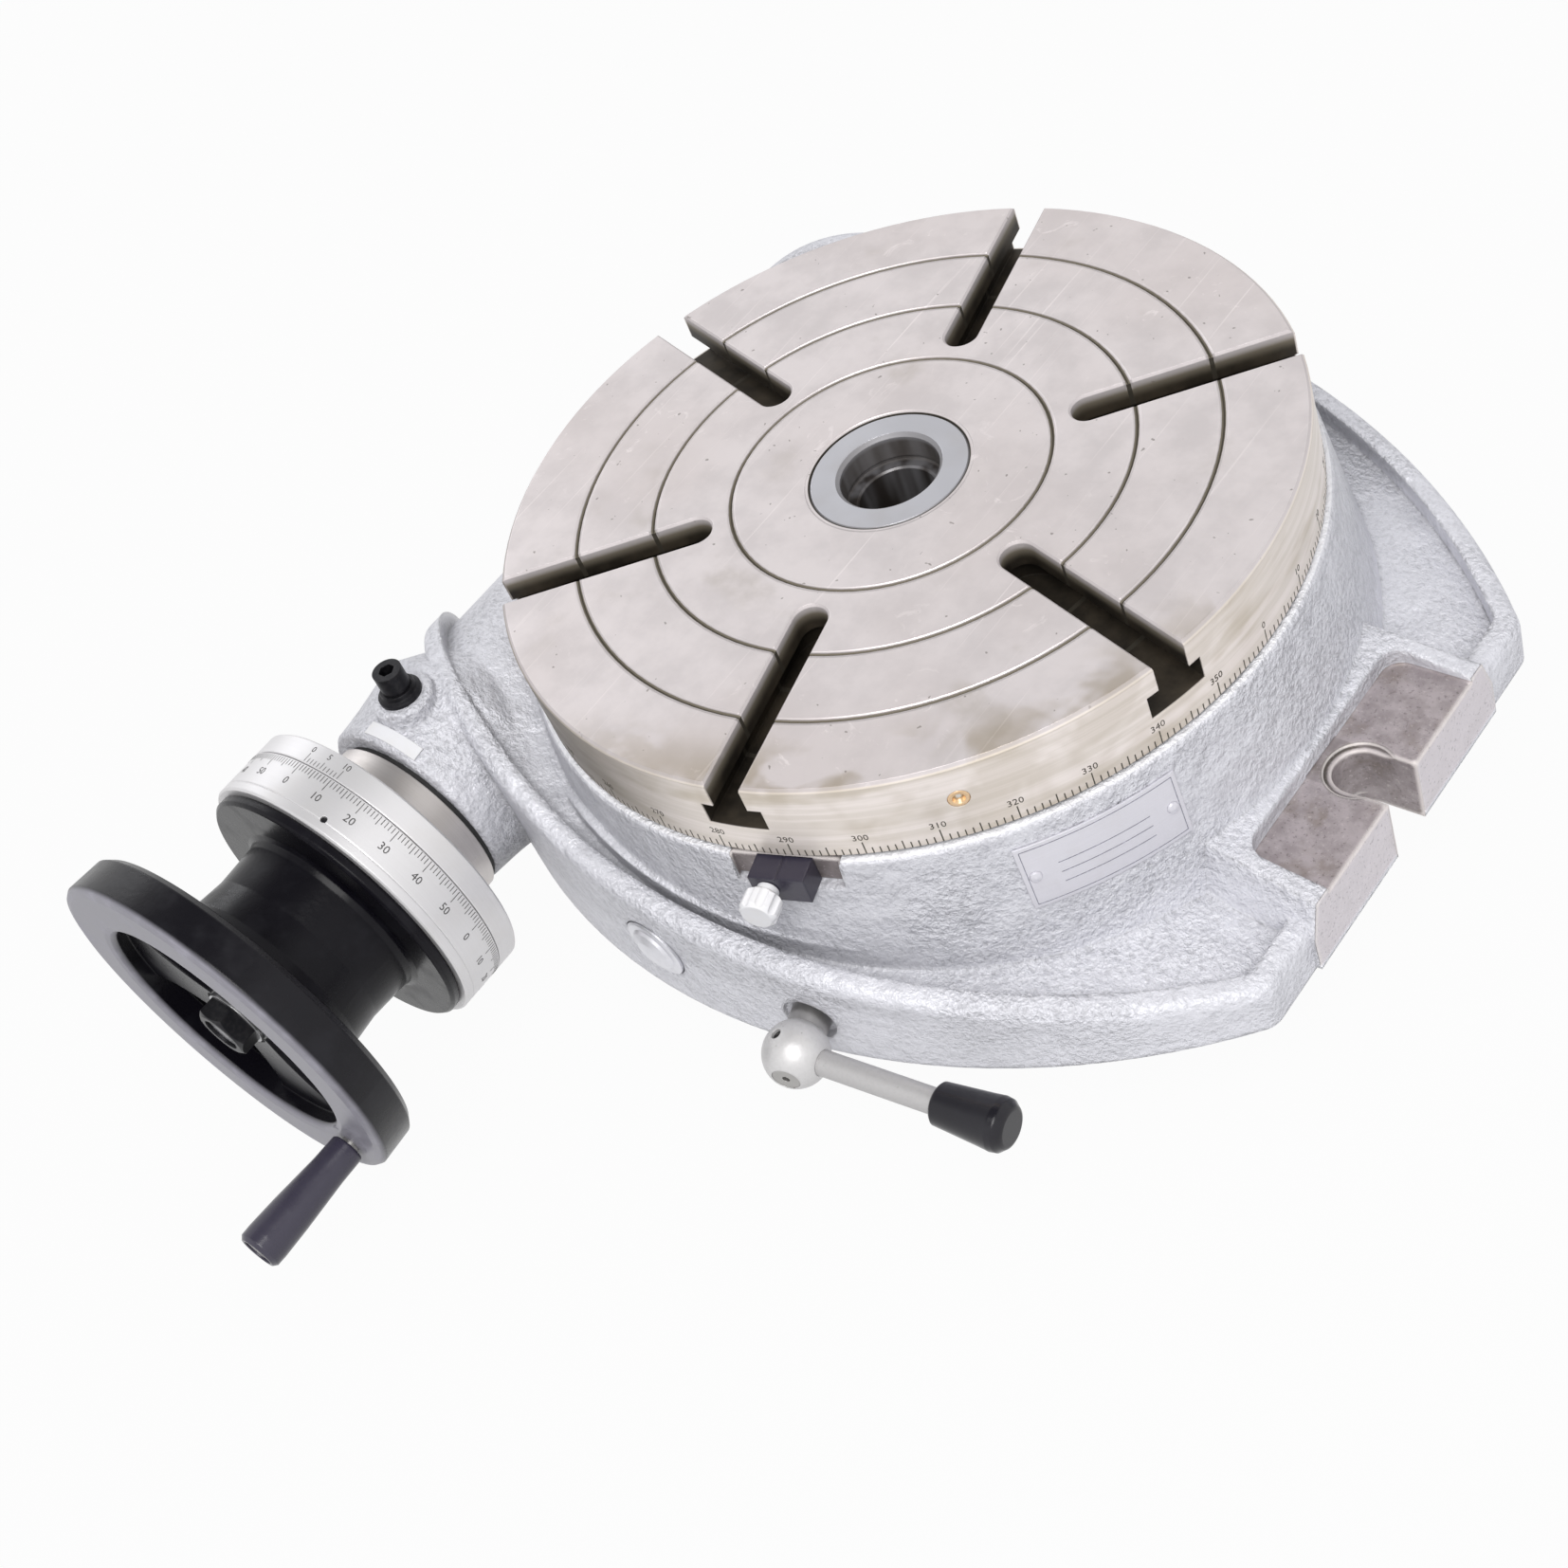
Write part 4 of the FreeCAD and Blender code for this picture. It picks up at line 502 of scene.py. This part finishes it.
def oxide_steel(name):
    """Blackened screw steel with a worn grey bloom."""
    f = Finish(name)
    bloom = f.noise(500.0, 3.0, 0.6)
    worn = edge_mask(f, 0.0012)
    base = f.blend(bloom.rise(0.4, 0.7) * 0.5, (0.010, 0.010, 0.013, 1), (0.034, 0.032, 0.034, 1))
    base = f.blend(worn * 0.50, base, (0.22, 0.21, 0.20, 1))
    normal = f.relief(bloom, 0.00004, f.rounded(0.0004))
    return f.shade(Base_Color=base, Roughness=0.42 - worn * 0.1, Metallic=0.6, Normal=normal)


def satin_dial(name, colour):
    """Satin plated ring turned round the worm's axis."""
    f = Finish(name)
    lines = f.noise(1.0, 2.0, 0.6, place=f.stretched((30.0, 5200.0, 30.0)))
    cloud = f.noise(55.0, 3.0, 0.55)
    base = f.blend(lines.rise(0.3, 0.7) * 0.16, solid(colour), tinted(colour, 0.84))
    base = f.blend(cloud.rise(0.45, 0.75) * 0.16, base, warmed(colour, 0.97, 0.9, 0.88))
    rough = 0.36 + lines * 0.08 + cloud * 0.06
    normal = f.relief(lines, 0.00002, f.rounded(0.0005))
    return f.shade(Base_Color=base, Roughness=rough, Metallic=0.62, Normal=normal)


def grey_lever(name, colour):
    """Satin grey finish of the ball lever, with small chips."""
    f = Finish(name)
    grain = f.noise(700.0, 3.0, 0.6)
    chips = f.noise(260.0, 3.0, 0.7).rise(0.66, 0.72)
    base = f.blend(grain.rise(0.4, 0.7) * 0.3, solid(colour), tinted(colour, 0.84))
    base = f.blend(chips * 0.5, base, (0.25, 0.23, 0.21, 1))
    normal = f.relief(grain - chips * 0.8, 0.00007, f.rounded(0.0006))
    return f.shade(Base_Color=base, Roughness=0.40 + grain * 0.1, Metallic=0.5, Normal=normal)


def soft_rubber(name):
    f = Finish(name)
    grain = f.noise(900.0, 3.0, 0.6)
    base = f.blend(grain, (0.008, 0.008, 0.009, 1), (0.022, 0.021, 0.021, 1))
    return f.shade(Base_Color=base, Roughness=0.75, Normal=f.relief(grain, 0.00005))


def moulded_plastic(name, colour, roughness=0.45):
    """Moulded plastic with a fine grain and faint yellowing."""
    f = Finish(name)
    grain = f.noise(1500.0, 2.0, 0.6)
    tone = f.noise(140.0, 2.0, 0.5)
    base = f.blend(tone.rise(0.4, 0.75) * 0.35, solid(colour), warmed(colour, 0.98, 0.93, 0.93))
    normal = f.relief(grain, 0.00003, f.rounded(0.0005))
    return f.shade(Base_Color=base, Roughness=roughness + grain * 0.1, Normal=normal)


def plate_metal(name, colour):
    """Thin plate with a brushed grain along its length."""
    f = Finish(name)
    brushed = f.noise(1.0, 2.0, 0.6, place=f.stretched((60.0, 60.0, 3200.0)))
    smudge = f.noise(90.0, 3.0, 0.6)
    base = f.blend(brushed.rise(0.3, 0.7) * 0.18, solid(colour), tinted(colour, 0.85))
    base = f.blend(smudge.rise(0.45, 0.8) * 0.2, base, warmed(colour, 0.97, 0.92, 0.85))
    normal = f.relief(brushed, 0.00002, f.rounded(0.0003))
    return f.shade(Base_Color=base, Roughness=0.38 + brushed * 0.1, Metallic=0.55, Normal=normal)


def scale_ink(name, colour):
    """Dark fill of engraved lines and figures, worn thin here and there."""
    f = Finish(name)
    wear = f.noise(800.0, 3.0, 0.6)
    base = f.blend(wear.rise(0.45, 0.75) * 0.5, solid(colour), tinted(colour, 3.0))
    return f.shade(Base_Color=base, Roughness=0.6 + wear * 0.1, Normal=f.relief(wear, 0.00002))


def backdrop_white(name, share):
    """Floor that shows near white and still takes a soft shadow."""
    f = Finish(name)
    tone = f.noise(3.0, 2.0, 0.5)
    colour = f.blend(tone, (0.36, 0.36, 0.37, 1), (0.39, 0.39, 0.39, 1))
    dull = f.node("ShaderNodeBsdfDiffuse", {}, {"Color": colour})
    glow = f.node("ShaderNodeEmission", {}, {"Color": (1, 1, 1, 1), "Strength": 1.0})
    f.node_out(f.node("ShaderNodeMixShader", {}, {0: f.seen() * share, 1: dull, 2: glow}))
    return f.material


def studio_sky(strength):
    """World: soft light from the upper right, mirrored as a white cove under a greyer ceiling."""
    f = Finish(bpy.data.worlds.new("studio_sky"), "Generated")
    x, y, z = f.axes()
    side = (x * 0.55 - y * 0.30 + z * 0.80).rise(-0.7, 0.9)
    even = f.node("ShaderNodeBackground", {}, {"Color": (0.97, 0.975, 1.0, 1), "Strength": side * strength})
    cove = 1 - z.rise(0.60, 0.94) * 0.76
    white = f.node("ShaderNodeBackground", {}, {"Color": (1, 1, 1, 1), "Strength": cove})
    f.node_out(f.node("ShaderNodeMixShader", {}, {0: f.seen(), 1: even, 2: white}), "ShaderNodeOutputWorld")
    return f.material


def mesh_piece(name, points, faces, material, body):
    """Piece from an array of points and an array of faces, riding on a body."""
    mesh = bpy.data.meshes.new(name)
    mesh.from_pydata(points.reshape(-1, 3), [], faces.tolist())
    mesh.update()
    piece = bpy.data.objects.new(name, mesh)
    bpy.context.scene.collection.objects.link(piece)
    mesh.materials.append(material)
    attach(piece, body)
    return piece


def wrapped(local, centre, up, zero, radius):
    """Flat drawing bent round a drum. Columns of local: way round, way along the axis, height."""
    right = np.cross(up, zero)
    angle = local[..., 0] / radius
    reach = radius + local[..., 2]
    out = np.cos(angle)[..., None] * zero + np.sin(angle)[..., None] * right
    return centre + reach[..., None] * out + local[..., 1][..., None] * up


def bars(ways, lows, highs, width, low_height, high_height):
    """Thin bars as boxes: one row of eight corners for each way round."""
    count = len(ways)
    corners = np.zeros((count, 8, 3))
    side = np.array([-1, 1, 1, -1, -1, 1, 1, -1]) * width / 2
    end = np.array([0, 0, 1, 1, 0, 0, 1, 1])
    top = np.array([0, 0, 0, 0, 1, 1, 1, 1])
    corners[..., 0] = ways[:, None] + side
    corners[..., 1] = lows[:, None] * (1 - end) + highs[:, None] * end
    corners[..., 2] = low_height * (1 - top) + high_height * top
    pattern = np.array([[0, 3, 2, 1], [4, 5, 6, 7], [0, 1, 5, 4], [1, 2, 6, 5], [2, 3, 7, 6], [3, 0, 4, 7]])
    faces = (pattern[None] + 8 * np.arange(count)[:, None, None]).reshape(-1, 4)
    return corners, faces


def figure_mesh(text, size, thickness):
    """Points and faces of a number, centred, lying in its own plane."""
    curve = bpy.data.curves.new("figure", "FONT")
    curve.body = text
    curve.size = size
    curve.extrude = thickness / 2
    curve.resolution_u = 2
    curve.align_x = "CENTER"
    holder = bpy.data.objects.new("figure", curve)
    bpy.context.scene.collection.objects.link(holder)
    bpy.context.view_layer.update()
    mesh = bpy.data.meshes.new_from_object(holder)
    points = np.zeros(len(mesh.vertices) * 3)
    mesh.vertices.foreach_get("co", points)
    faces = [tuple(polygon.vertices) for polygon in mesh.polygons]
    bpy.data.objects.remove(holder)
    bpy.data.curves.remove(curve)
    bpy.data.meshes.remove(mesh)
    return points.reshape(-1, 3), faces


def figures_piece(name, labels, size, along, drum, material, body, proud=0.00004):
    """Row of numbers round a drum. Labels are pairs of text and way round."""
    points, faces, start = [], [], 0
    cache = {}
    for text, way in labels:
        if text not in cache:
            cache[text] = figure_mesh(text, size, 0.0002)
        flat, polygons = cache[text]
        local = flat.copy()
        local[:, 0] += way
        local[:, 1] += along
        local[:, 2] += proud - 0.0001
        points.append(wrapped(local, *drum))
        faces += [tuple(v + start for v in polygon) for polygon in polygons]
        start += len(flat)
    mesh = bpy.data.meshes.new(name)
    mesh.from_pydata(np.concatenate(points).tolist(), [], faces)
    mesh.update()
    piece = bpy.data.objects.new(name, mesh)
    bpy.context.scene.collection.objects.link(piece)
    mesh.materials.append(material)
    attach(piece, body)
    return piece


def ticks_piece(name, count, turn, start, lengths, width, drum, material, body):
    """Graduation lines round a drum. Lengths: plain, fifth and tenth line. Turn is the arc in radians."""
    radius = drum[3]
    index = np.arange(count)
    ways = radius * turn * index / count
    highs = np.where(index % 10 == 0, lengths[2], np.where(index % 5 == 0, lengths[1], lengths[0]))
    ends = start + highs
    low, high = np.minimum(start, ends), np.maximum(start, ends)
    corners, faces = bars(ways, low, high, width, -0.0002, 0.00004)
    return mesh_piece(name, wrapped(corners, *drum), faces, material, body)


def dress(names, material):
    """One material for each of these CAD nodes."""
    for name in names:
        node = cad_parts[name]
        node.data.materials.clear()
        node.data.materials.append(material)


class CastingLooks(bpy.types.PropertyGroup):
    paint: bpy.props.FloatVectorProperty(
        name="Paint", description="Colour of the silver paint", subtype="COLOR", size=3,
        default=(0.70, 0.70, 0.745), min=0, max=1)
    lump: bpy.props.FloatProperty(
        name="Lump size", description="Distance between lumps of the hammered paint", unit="LENGTH",
        default=0.0022, min=0.0005, max=0.01)


class TableLooks(bpy.types.PropertyGroup):
    iron: bpy.props.FloatVectorProperty(
        name="Iron", description="Colour of the ground face", subtype="COLOR", size=3,
        default=(0.78, 0.725, 0.725), min=0, max=1)
    oil: bpy.props.FloatProperty(
        name="Oil marks", description="Strength of the oil marks by the front edge", subtype="FACTOR",
        default=0.55, min=0, max=1)
    divisions: bpy.props.IntProperty(
        name="Divisions", description="Lines in the scale round the table", default=360, min=36, max=720)
    figure_size: bpy.props.FloatProperty(
        name="Figure size", description="Height setting of the scale's numbers", unit="LENGTH",
        default=0.0042, min=0.001, max=0.01)


class DialLooks(bpy.types.PropertyGroup):
    satin: bpy.props.FloatVectorProperty(
        name="Satin", description="Colour of the dial rings", subtype="COLOR", size=3,
        default=(0.73, 0.72, 0.73), min=0, max=1)
    divisions: bpy.props.IntProperty(
        name="Divisions", description="Lines on the worm's dial", default=240, min=24, max=480)
    figure_size: bpy.props.FloatProperty(
        name="Figure size", description="Height setting of the dial's numbers", unit="LENGTH",
        default=0.0048, min=0.001, max=0.01)


class BlackLooks(bpy.types.PropertyGroup):
    enamel: bpy.props.FloatVectorProperty(
        name="Enamel", description="Colour of the handwheel and hub", subtype="COLOR", size=3,
        default=(0.0045, 0.0040, 0.0065), min=0, max=1)


class StudioLooks(bpy.types.PropertyGroup):
    lens: bpy.props.FloatProperty(
        name="Lens", description="Focal length for a 36 mm sensor", subtype="DISTANCE_CAMERA",
        default=53.34, min=10, max=300)
    key_power: bpy.props.FloatProperty(
        name="Key light", description="Power of the large light to the front right", unit="POWER",
        default=30.0, min=0, max=200)
    sky: bpy.props.FloatProperty(
        name="Sky", description="Strength of the even light from all sides", default=0.84, min=0, max=2)


class ROTARY_OT_casting(bpy.types.Operator):
    """Paint the cast base and its cover"""
    bl_idname = "rotary.casting"
    bl_label = "Cast base"

    def execute(self, context):
        looks = context.scene.rotary_casting
        paint = hammered_paint("silver_hammer_paint", looks.paint, looks.lump)
        dress(["base_casting"], paint)
        smooth = hammered_paint("silver_cover_paint", looks.paint, looks.lump * 0.8, False)
        dress(["rear_cover"], smooth)
        dress(["sight_plug"], bright_steel("plug_sheen", (0.74, 0.74, 0.78), 0.34))
        return {"FINISHED"}


class ROTARY_OT_table(bpy.types.Operator):
    """Finish the table, its centre sleeve and its degree scale"""
    bl_idname = "rotary.table"
    bl_label = "Table"

    def execute(self, context):
        looks = context.scene.rotary_table
        dress(["table_top"], ground_iron("ground_iron", looks.iron, looks.oil))
        dress(["centre_sleeve"], turned_steel("sleeve_steel", (0.60, 0.60, 0.64), 2, 0.26, 0.0212))
        dress(["worm_wheel"], bronze_metal("wheel_bronze", (0.62, 0.42, 0.20)))
        dress(["wheel_screws", "disc_screws"], oxide_steel("table_screws"))
        dress(["wheel_dowels", "retaining_disc"], bright_steel("disc_steel", (0.50, 0.50, 0.51)))
        dress(["ball_oiler_body"], bronze_metal("oiler_brass", (0.82, 0.60, 0.38)))
        dress(["ball_oiler_ball"], bright_steel("oiler_ball", (0.66, 0.64, 0.60), 0.2))
        ink = scale_ink("scale_ink", (0.050, 0.044, 0.032))
        up, zero = np.array([0.0, 0, 1]), np.array([1.0, 0, 0])
        drum = (np.array([0.0, 0, table_under]), up, zero, table_radius)
        ticks_piece("table_scale_lines", looks.divisions, 2 * math.pi, 0.0010, (0.0030, 0.0044, 0.0062),
                    0.00048, drum, ink, "table")
        labels = [(str(10 * k), table_radius * 2 * math.pi * k / 36) for k in range(36)]
        figures_piece("table_scale_figures", labels, looks.figure_size, 0.0082, drum, ink,
                      "table")
        return {"FINISHED"}


class ROTARY_OT_worm(bpy.types.Operator):
    """Finish the worm, its carrier sleeve and bearings"""
    bl_idname = "rotary.worm"
    bl_label = "Worm drive"

    def execute(self, context):
        dress(["eccentric_sleeve"], turned_steel("carrier_steel", (0.60, 0.57, 0.56), 1, 0.30))
        dress(["worm_shaft", "thrust_ring"], turned_steel("worm_steel", (0.42, 0.42, 0.44), 1, 0.24))
        dress(["front_bushes", "rear_bush", "clamp_shoe"], bronze_metal("bush_bronze", (0.66, 0.46, 0.24)))
        dress(["lock_nuts", "drive_key", "wheel_washer"], bright_steel("nut_steel", (0.48, 0.48, 0.49)))
        dress(["seal_ring"], soft_rubber("seal_rubber"))
        dress(["cover_screws", "dial_screw", "lever_set_screw"], oxide_steel("small_screws"))
        return {"FINISHED"}


class ROTARY_OT_dials(bpy.types.Operator):
    """Finish the dial and the index ring, with their lines and numbers"""
    bl_idname = "rotary.dials"
    bl_label = "Dials"

    def execute(self, context):
        looks = context.scene.rotary_dial
        dress(["dial_ring", "vernier_ring"], satin_dial("satin_dial", looks.satin))
        ink = scale_ink("dial_ink", (0.045, 0.043, 0.042))
        up, zero = np.array([0.0, 1, 0]), np.array([0.0, 0, 1])
        back = dial_high.y
        drum = (np.array([worm_axis.x, back, worm_axis.z]), up, zero, dial_radius)
        ticks_piece("dial_lines", looks.divisions, 2 * math.pi, -0.0006, (-0.0028, -0.0040, -0.0054),
                    0.00030, drum, ink, "dial")
        step = 2 * math.pi * dial_radius / 24
        labels = [(str(k % 6 * 10), step * k) for k in range(24)]
        figures_piece("dial_figures", labels, looks.figure_size, -0.0110, drum, ink, "dial")
        edge = vernier_low.y
        fixed = (np.array([worm_axis.x, edge, worm_axis.z]), up, zero, dial_radius)
        span, lines = math.radians(16.2), 11
        ticks_piece("vernier_lines", lines, span * lines / 10, 0.0006, (0.0022, 0.0032, 0.0042),
                    0.00026, fixed, ink, "base")
        half = dial_radius * span / 2
        marks = [("0", 0.0), ("5", half), ("10", 2 * half)]
        figures_piece("vernier_figures", marks, looks.figure_size * 0.8, 0.0055, fixed, ink,
                      "base")
        return {"FINISHED"}


class ROTARY_OT_handwheel(bpy.types.Operator):
    """Finish the handwheel, its hub and its handle"""
    bl_idname = "rotary.handwheel"
    bl_label = "Handwheel"

    def execute(self, context):
        looks = context.scene.rotary_black
        dress(["dial_hub"], black_enamel("hub_enamel", looks.enamel, 0.27, gloss=1.26))
        dress(["handwheel"], black_enamel("wheel_enamel", looks.enamel, 0.27, gloss=1.34,
                                          sheen_from=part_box("handwheel")[0].y))
        dress(["handle_grip"], black_enamel("grip_black", tinted(looks.enamel, 8.5), 0.26, 0.00003, 1.52))
        dress(["handle_stud"], bright_steel("stud_steel", (0.40, 0.39, 0.38)))
        dress(["wheel_nut"], oxide_steel("wheel_nut_steel"))
        return {"FINISHED"}


class ROTARY_OT_clamp(bpy.types.Operator):
    """Finish the table clamp and its ball lever"""
    bl_idname = "rotary.clamp"
    bl_label = "Table clamp"

    def execute(self, context):
        looks = context.scene.rotary_black
        dress(["lever_ball"], grey_lever("ball_grey", (0.64, 0.63, 0.63)))
        dress(["lever_arm"], grey_lever("arm_grey", (0.50, 0.49, 0.49)))
        dress(["lever_knob"], black_enamel("knob_black", tinted(looks.enamel, 1.6), 0.18, 0.00001, 1.46))
        dress(["clamp_screw"], bright_steel("clamp_steel", (0.42, 0.41, 0.40)))
        return {"FINISHED"}


def cut_up(levels, starts, ends, parts):
    """Each line as a row of short ones, so that it can follow a bend."""
    share = np.arange(parts) / parts
    lows = starts[:, None] + (ends - starts)[:, None] * share
    highs = lows + (ends - starts)[:, None] / parts
    return np.repeat(levels, parts), lows.ravel(), highs.ravel()


def plate_rules(ink):
    """Blank nameplate: a thin frame and empty ruled lines, bent on the drum's drafted wall."""
    low, high, half, margin = 0.0495, 0.0775, 0.0315, 0.0016
    draft, azimuth, wall_top, wall_radius = math.radians(8.5), math.radians(-31.5), 0.0860, 0.1625
    sides = np.array([margin - half, half - margin])
    width, sunk, proud = 0.0003, -0.0002, 0.00005
    upright, faces = bars(sides, np.full(2, low + margin), np.full(2, high - margin), width, sunk, proud)
    levels = np.array([low + margin, high - margin, low + 0.0075, low + 0.0120, low + 0.0165])
    reach = np.array([half - margin, half - margin, 0.018, 0.018, 0.018])
    along, more = bars(*cut_up(levels, -reach, reach, 20), width, sunk, proud)
    local = np.concatenate([upright, along[..., [1, 0, 2]]])
    faces = np.concatenate([faces, more[:, ::-1] + 8 * len(upright)])
    radius = wall_radius + (wall_top - local[..., 1]) * math.tan(draft) + 0.00082 + local[..., 2]
    angle = azimuth + local[..., 0] / radius
    points = np.stack([radius * np.cos(angle), radius * np.sin(angle), local[..., 1]], axis=-1)
    return mesh_piece("plate_rules", points, faces, ink, "base")


class ROTARY_OT_fittings(bpy.types.Operator):
    """Finish the pointer, plug, plates and screws"""
    bl_idname = "rotary.fittings"
    bl_label = "Fittings"

    def execute(self, context):
        looks = context.scene.rotary_black
        dress(["lock_screw", "lock_collar"], oxide_steel("plug_steel"))
        dress(["zero_pointer"], black_enamel("pointer_black", tinted(looks.enamel, 7.0), 0.30, gloss=1.5))
        dress(["thumb_screw"], moulded_plastic("thumb_white", (0.78, 0.78, 0.80)))
        dress(["nameplate", "plate_rivets"], plate_metal("plate_metal", (0.72, 0.71, 0.76)))
        plate_rules(scale_ink("plate_ink", (0.20, 0.20, 0.24)))
        dress(["housing_label"], moulded_plastic("label_white", (0.74, 0.74, 0.76), 0.35))
        return {"FINISHED"}


def area_light(name, place, aim, size, power, colour):
    data = bpy.data.lights.new(name, "AREA")
    data.shape = "RECTANGLE"
    data.size, data.size_y = size
    data.energy = power
    data.color = colour
    lamp = bpy.data.objects.new(name, data)
    lamp.location = place
    lamp.rotation_mode = "QUATERNION"
    lamp.rotation_quaternion = (Vector(aim) - Vector(place)).to_track_quat("-Z", "Y")
    bpy.context.scene.collection.objects.link(lamp)
    return lamp


def stage_slab(name, corners, top, bottom, material):
    """Flat slab from a plan outline, with its faces pointing outwards."""
    count = len(corners)
    plan = np.array(corners, float)
    points = np.zeros((2 * count, 3))
    points[:count, :2] = plan
    points[count:, :2] = plan
    points[:count, 2] = bottom
    points[count:, 2] = top
    faces = [tuple(reversed(range(count))), tuple(range(count, 2 * count))]
    for k in range(count):
        following = (k + 1) % count
        faces.append((k, following, following + count, k + count))
    mesh = bpy.data.meshes.new(name)
    mesh.from_pydata(points.tolist(), [], faces)
    mesh.update()
    slab = bpy.data.objects.new(name, mesh)
    bpy.context.scene.collection.objects.link(slab)
    mesh.materials.append(material)
    return slab


class ROTARY_OT_studio(bpy.types.Operator):
    """Set up the floor, the stand, the lights and the camera"""
    bl_idname = "rotary.studio"
    bl_label = "Studio"

    def execute(self, context):
        looks = context.scene.rotary_studio
        white = backdrop_white("backdrop_white", 0.96)
        drop = cad_box[0].z - 0.012
        stage_slab("floor", [(-9, -9), (9, -9), (9, 9), (-9, 9)], drop, drop - 0.01, white)
        half = 0.13
        stage_slab("stand", [(-half, -half), (half, -half), (half, half), (-half, half)], 0.0, drop, white)
        key = looks.key_power
        area_light("key", (0.80, -0.90, 1.85), (0, 0, 0.05), (1.2, 1.2), key, (1.0, 0.995, 0.985))
        area_light("strip", (-1.7, 0.35, 0.75), (-0.1, -0.1, 0.05), (0.10, 1.0), key * 0.06,
                   (0.96, 0.97, 1.0))
        context.scene.world = studio_sky(looks.sky)
        data = bpy.data.cameras.new("photo_view")
        data.lens = looks.lens
        data.sensor_width = 36.0
        camera = bpy.data.objects.new("photo_view", data)
        camera.location = (0.533355, -0.452857, 0.686338)
        camera.rotation_euler = tuple(math.radians(a) for a in (42.129, 17.801, 38.220))
        context.scene.collection.objects.link(camera)
        context.scene.camera = camera
        context.scene.view_settings.view_transform = "Standard"
        return {"FINISHED"}


class ROTARY_PT_looks(bpy.types.Panel):
    """Sizes and colours of the rotary table's looks"""
    bl_label = "Rotary Table"
    bl_idname = "ROTARY_PT_looks"
    bl_space_type = "VIEW_3D"
    bl_region_type = "UI"
    bl_category = "Rotary Table"

    def draw(self, context):
        for operator in operators:
            self.layout.operator(operator.bl_idname)
        for group in groups:
            settings = getattr(context.scene, groups[group])
            for key in group.__annotations__:
                self.layout.prop(settings, key)


groups = {
    CastingLooks: "rotary_casting",
    TableLooks: "rotary_table",
    DialLooks: "rotary_dial",
    BlackLooks: "rotary_black",
    StudioLooks: "rotary_studio",
}
operators = (ROTARY_OT_casting, ROTARY_OT_table, ROTARY_OT_worm, ROTARY_OT_dials, ROTARY_OT_handwheel,
             ROTARY_OT_clamp, ROTARY_OT_fittings, ROTARY_OT_studio)


def register():
    for group, place in groups.items():
        bpy.utils.register_class(group)
        setattr(bpy.types.Scene, place, bpy.props.PointerProperty(type=group))
    for operator in operators:
        bpy.utils.register_class(operator)
    bpy.utils.register_class(ROTARY_PT_looks)


def unregister():
    bpy.utils.unregister_class(ROTARY_PT_looks)
    for operator in reversed(operators):
        bpy.utils.unregister_class(operator)
    for group, place in groups.items():
        delattr(bpy.types.Scene, place)
        bpy.utils.unregister_class(group)


def main():
    register()
    for operator in operators:
        family, action = operator.bl_idname.split(".")
        getattr(getattr(bpy.ops, family), action)()
    bpy.context.view_layer.update()


if __name__ == "__main__":
    main()
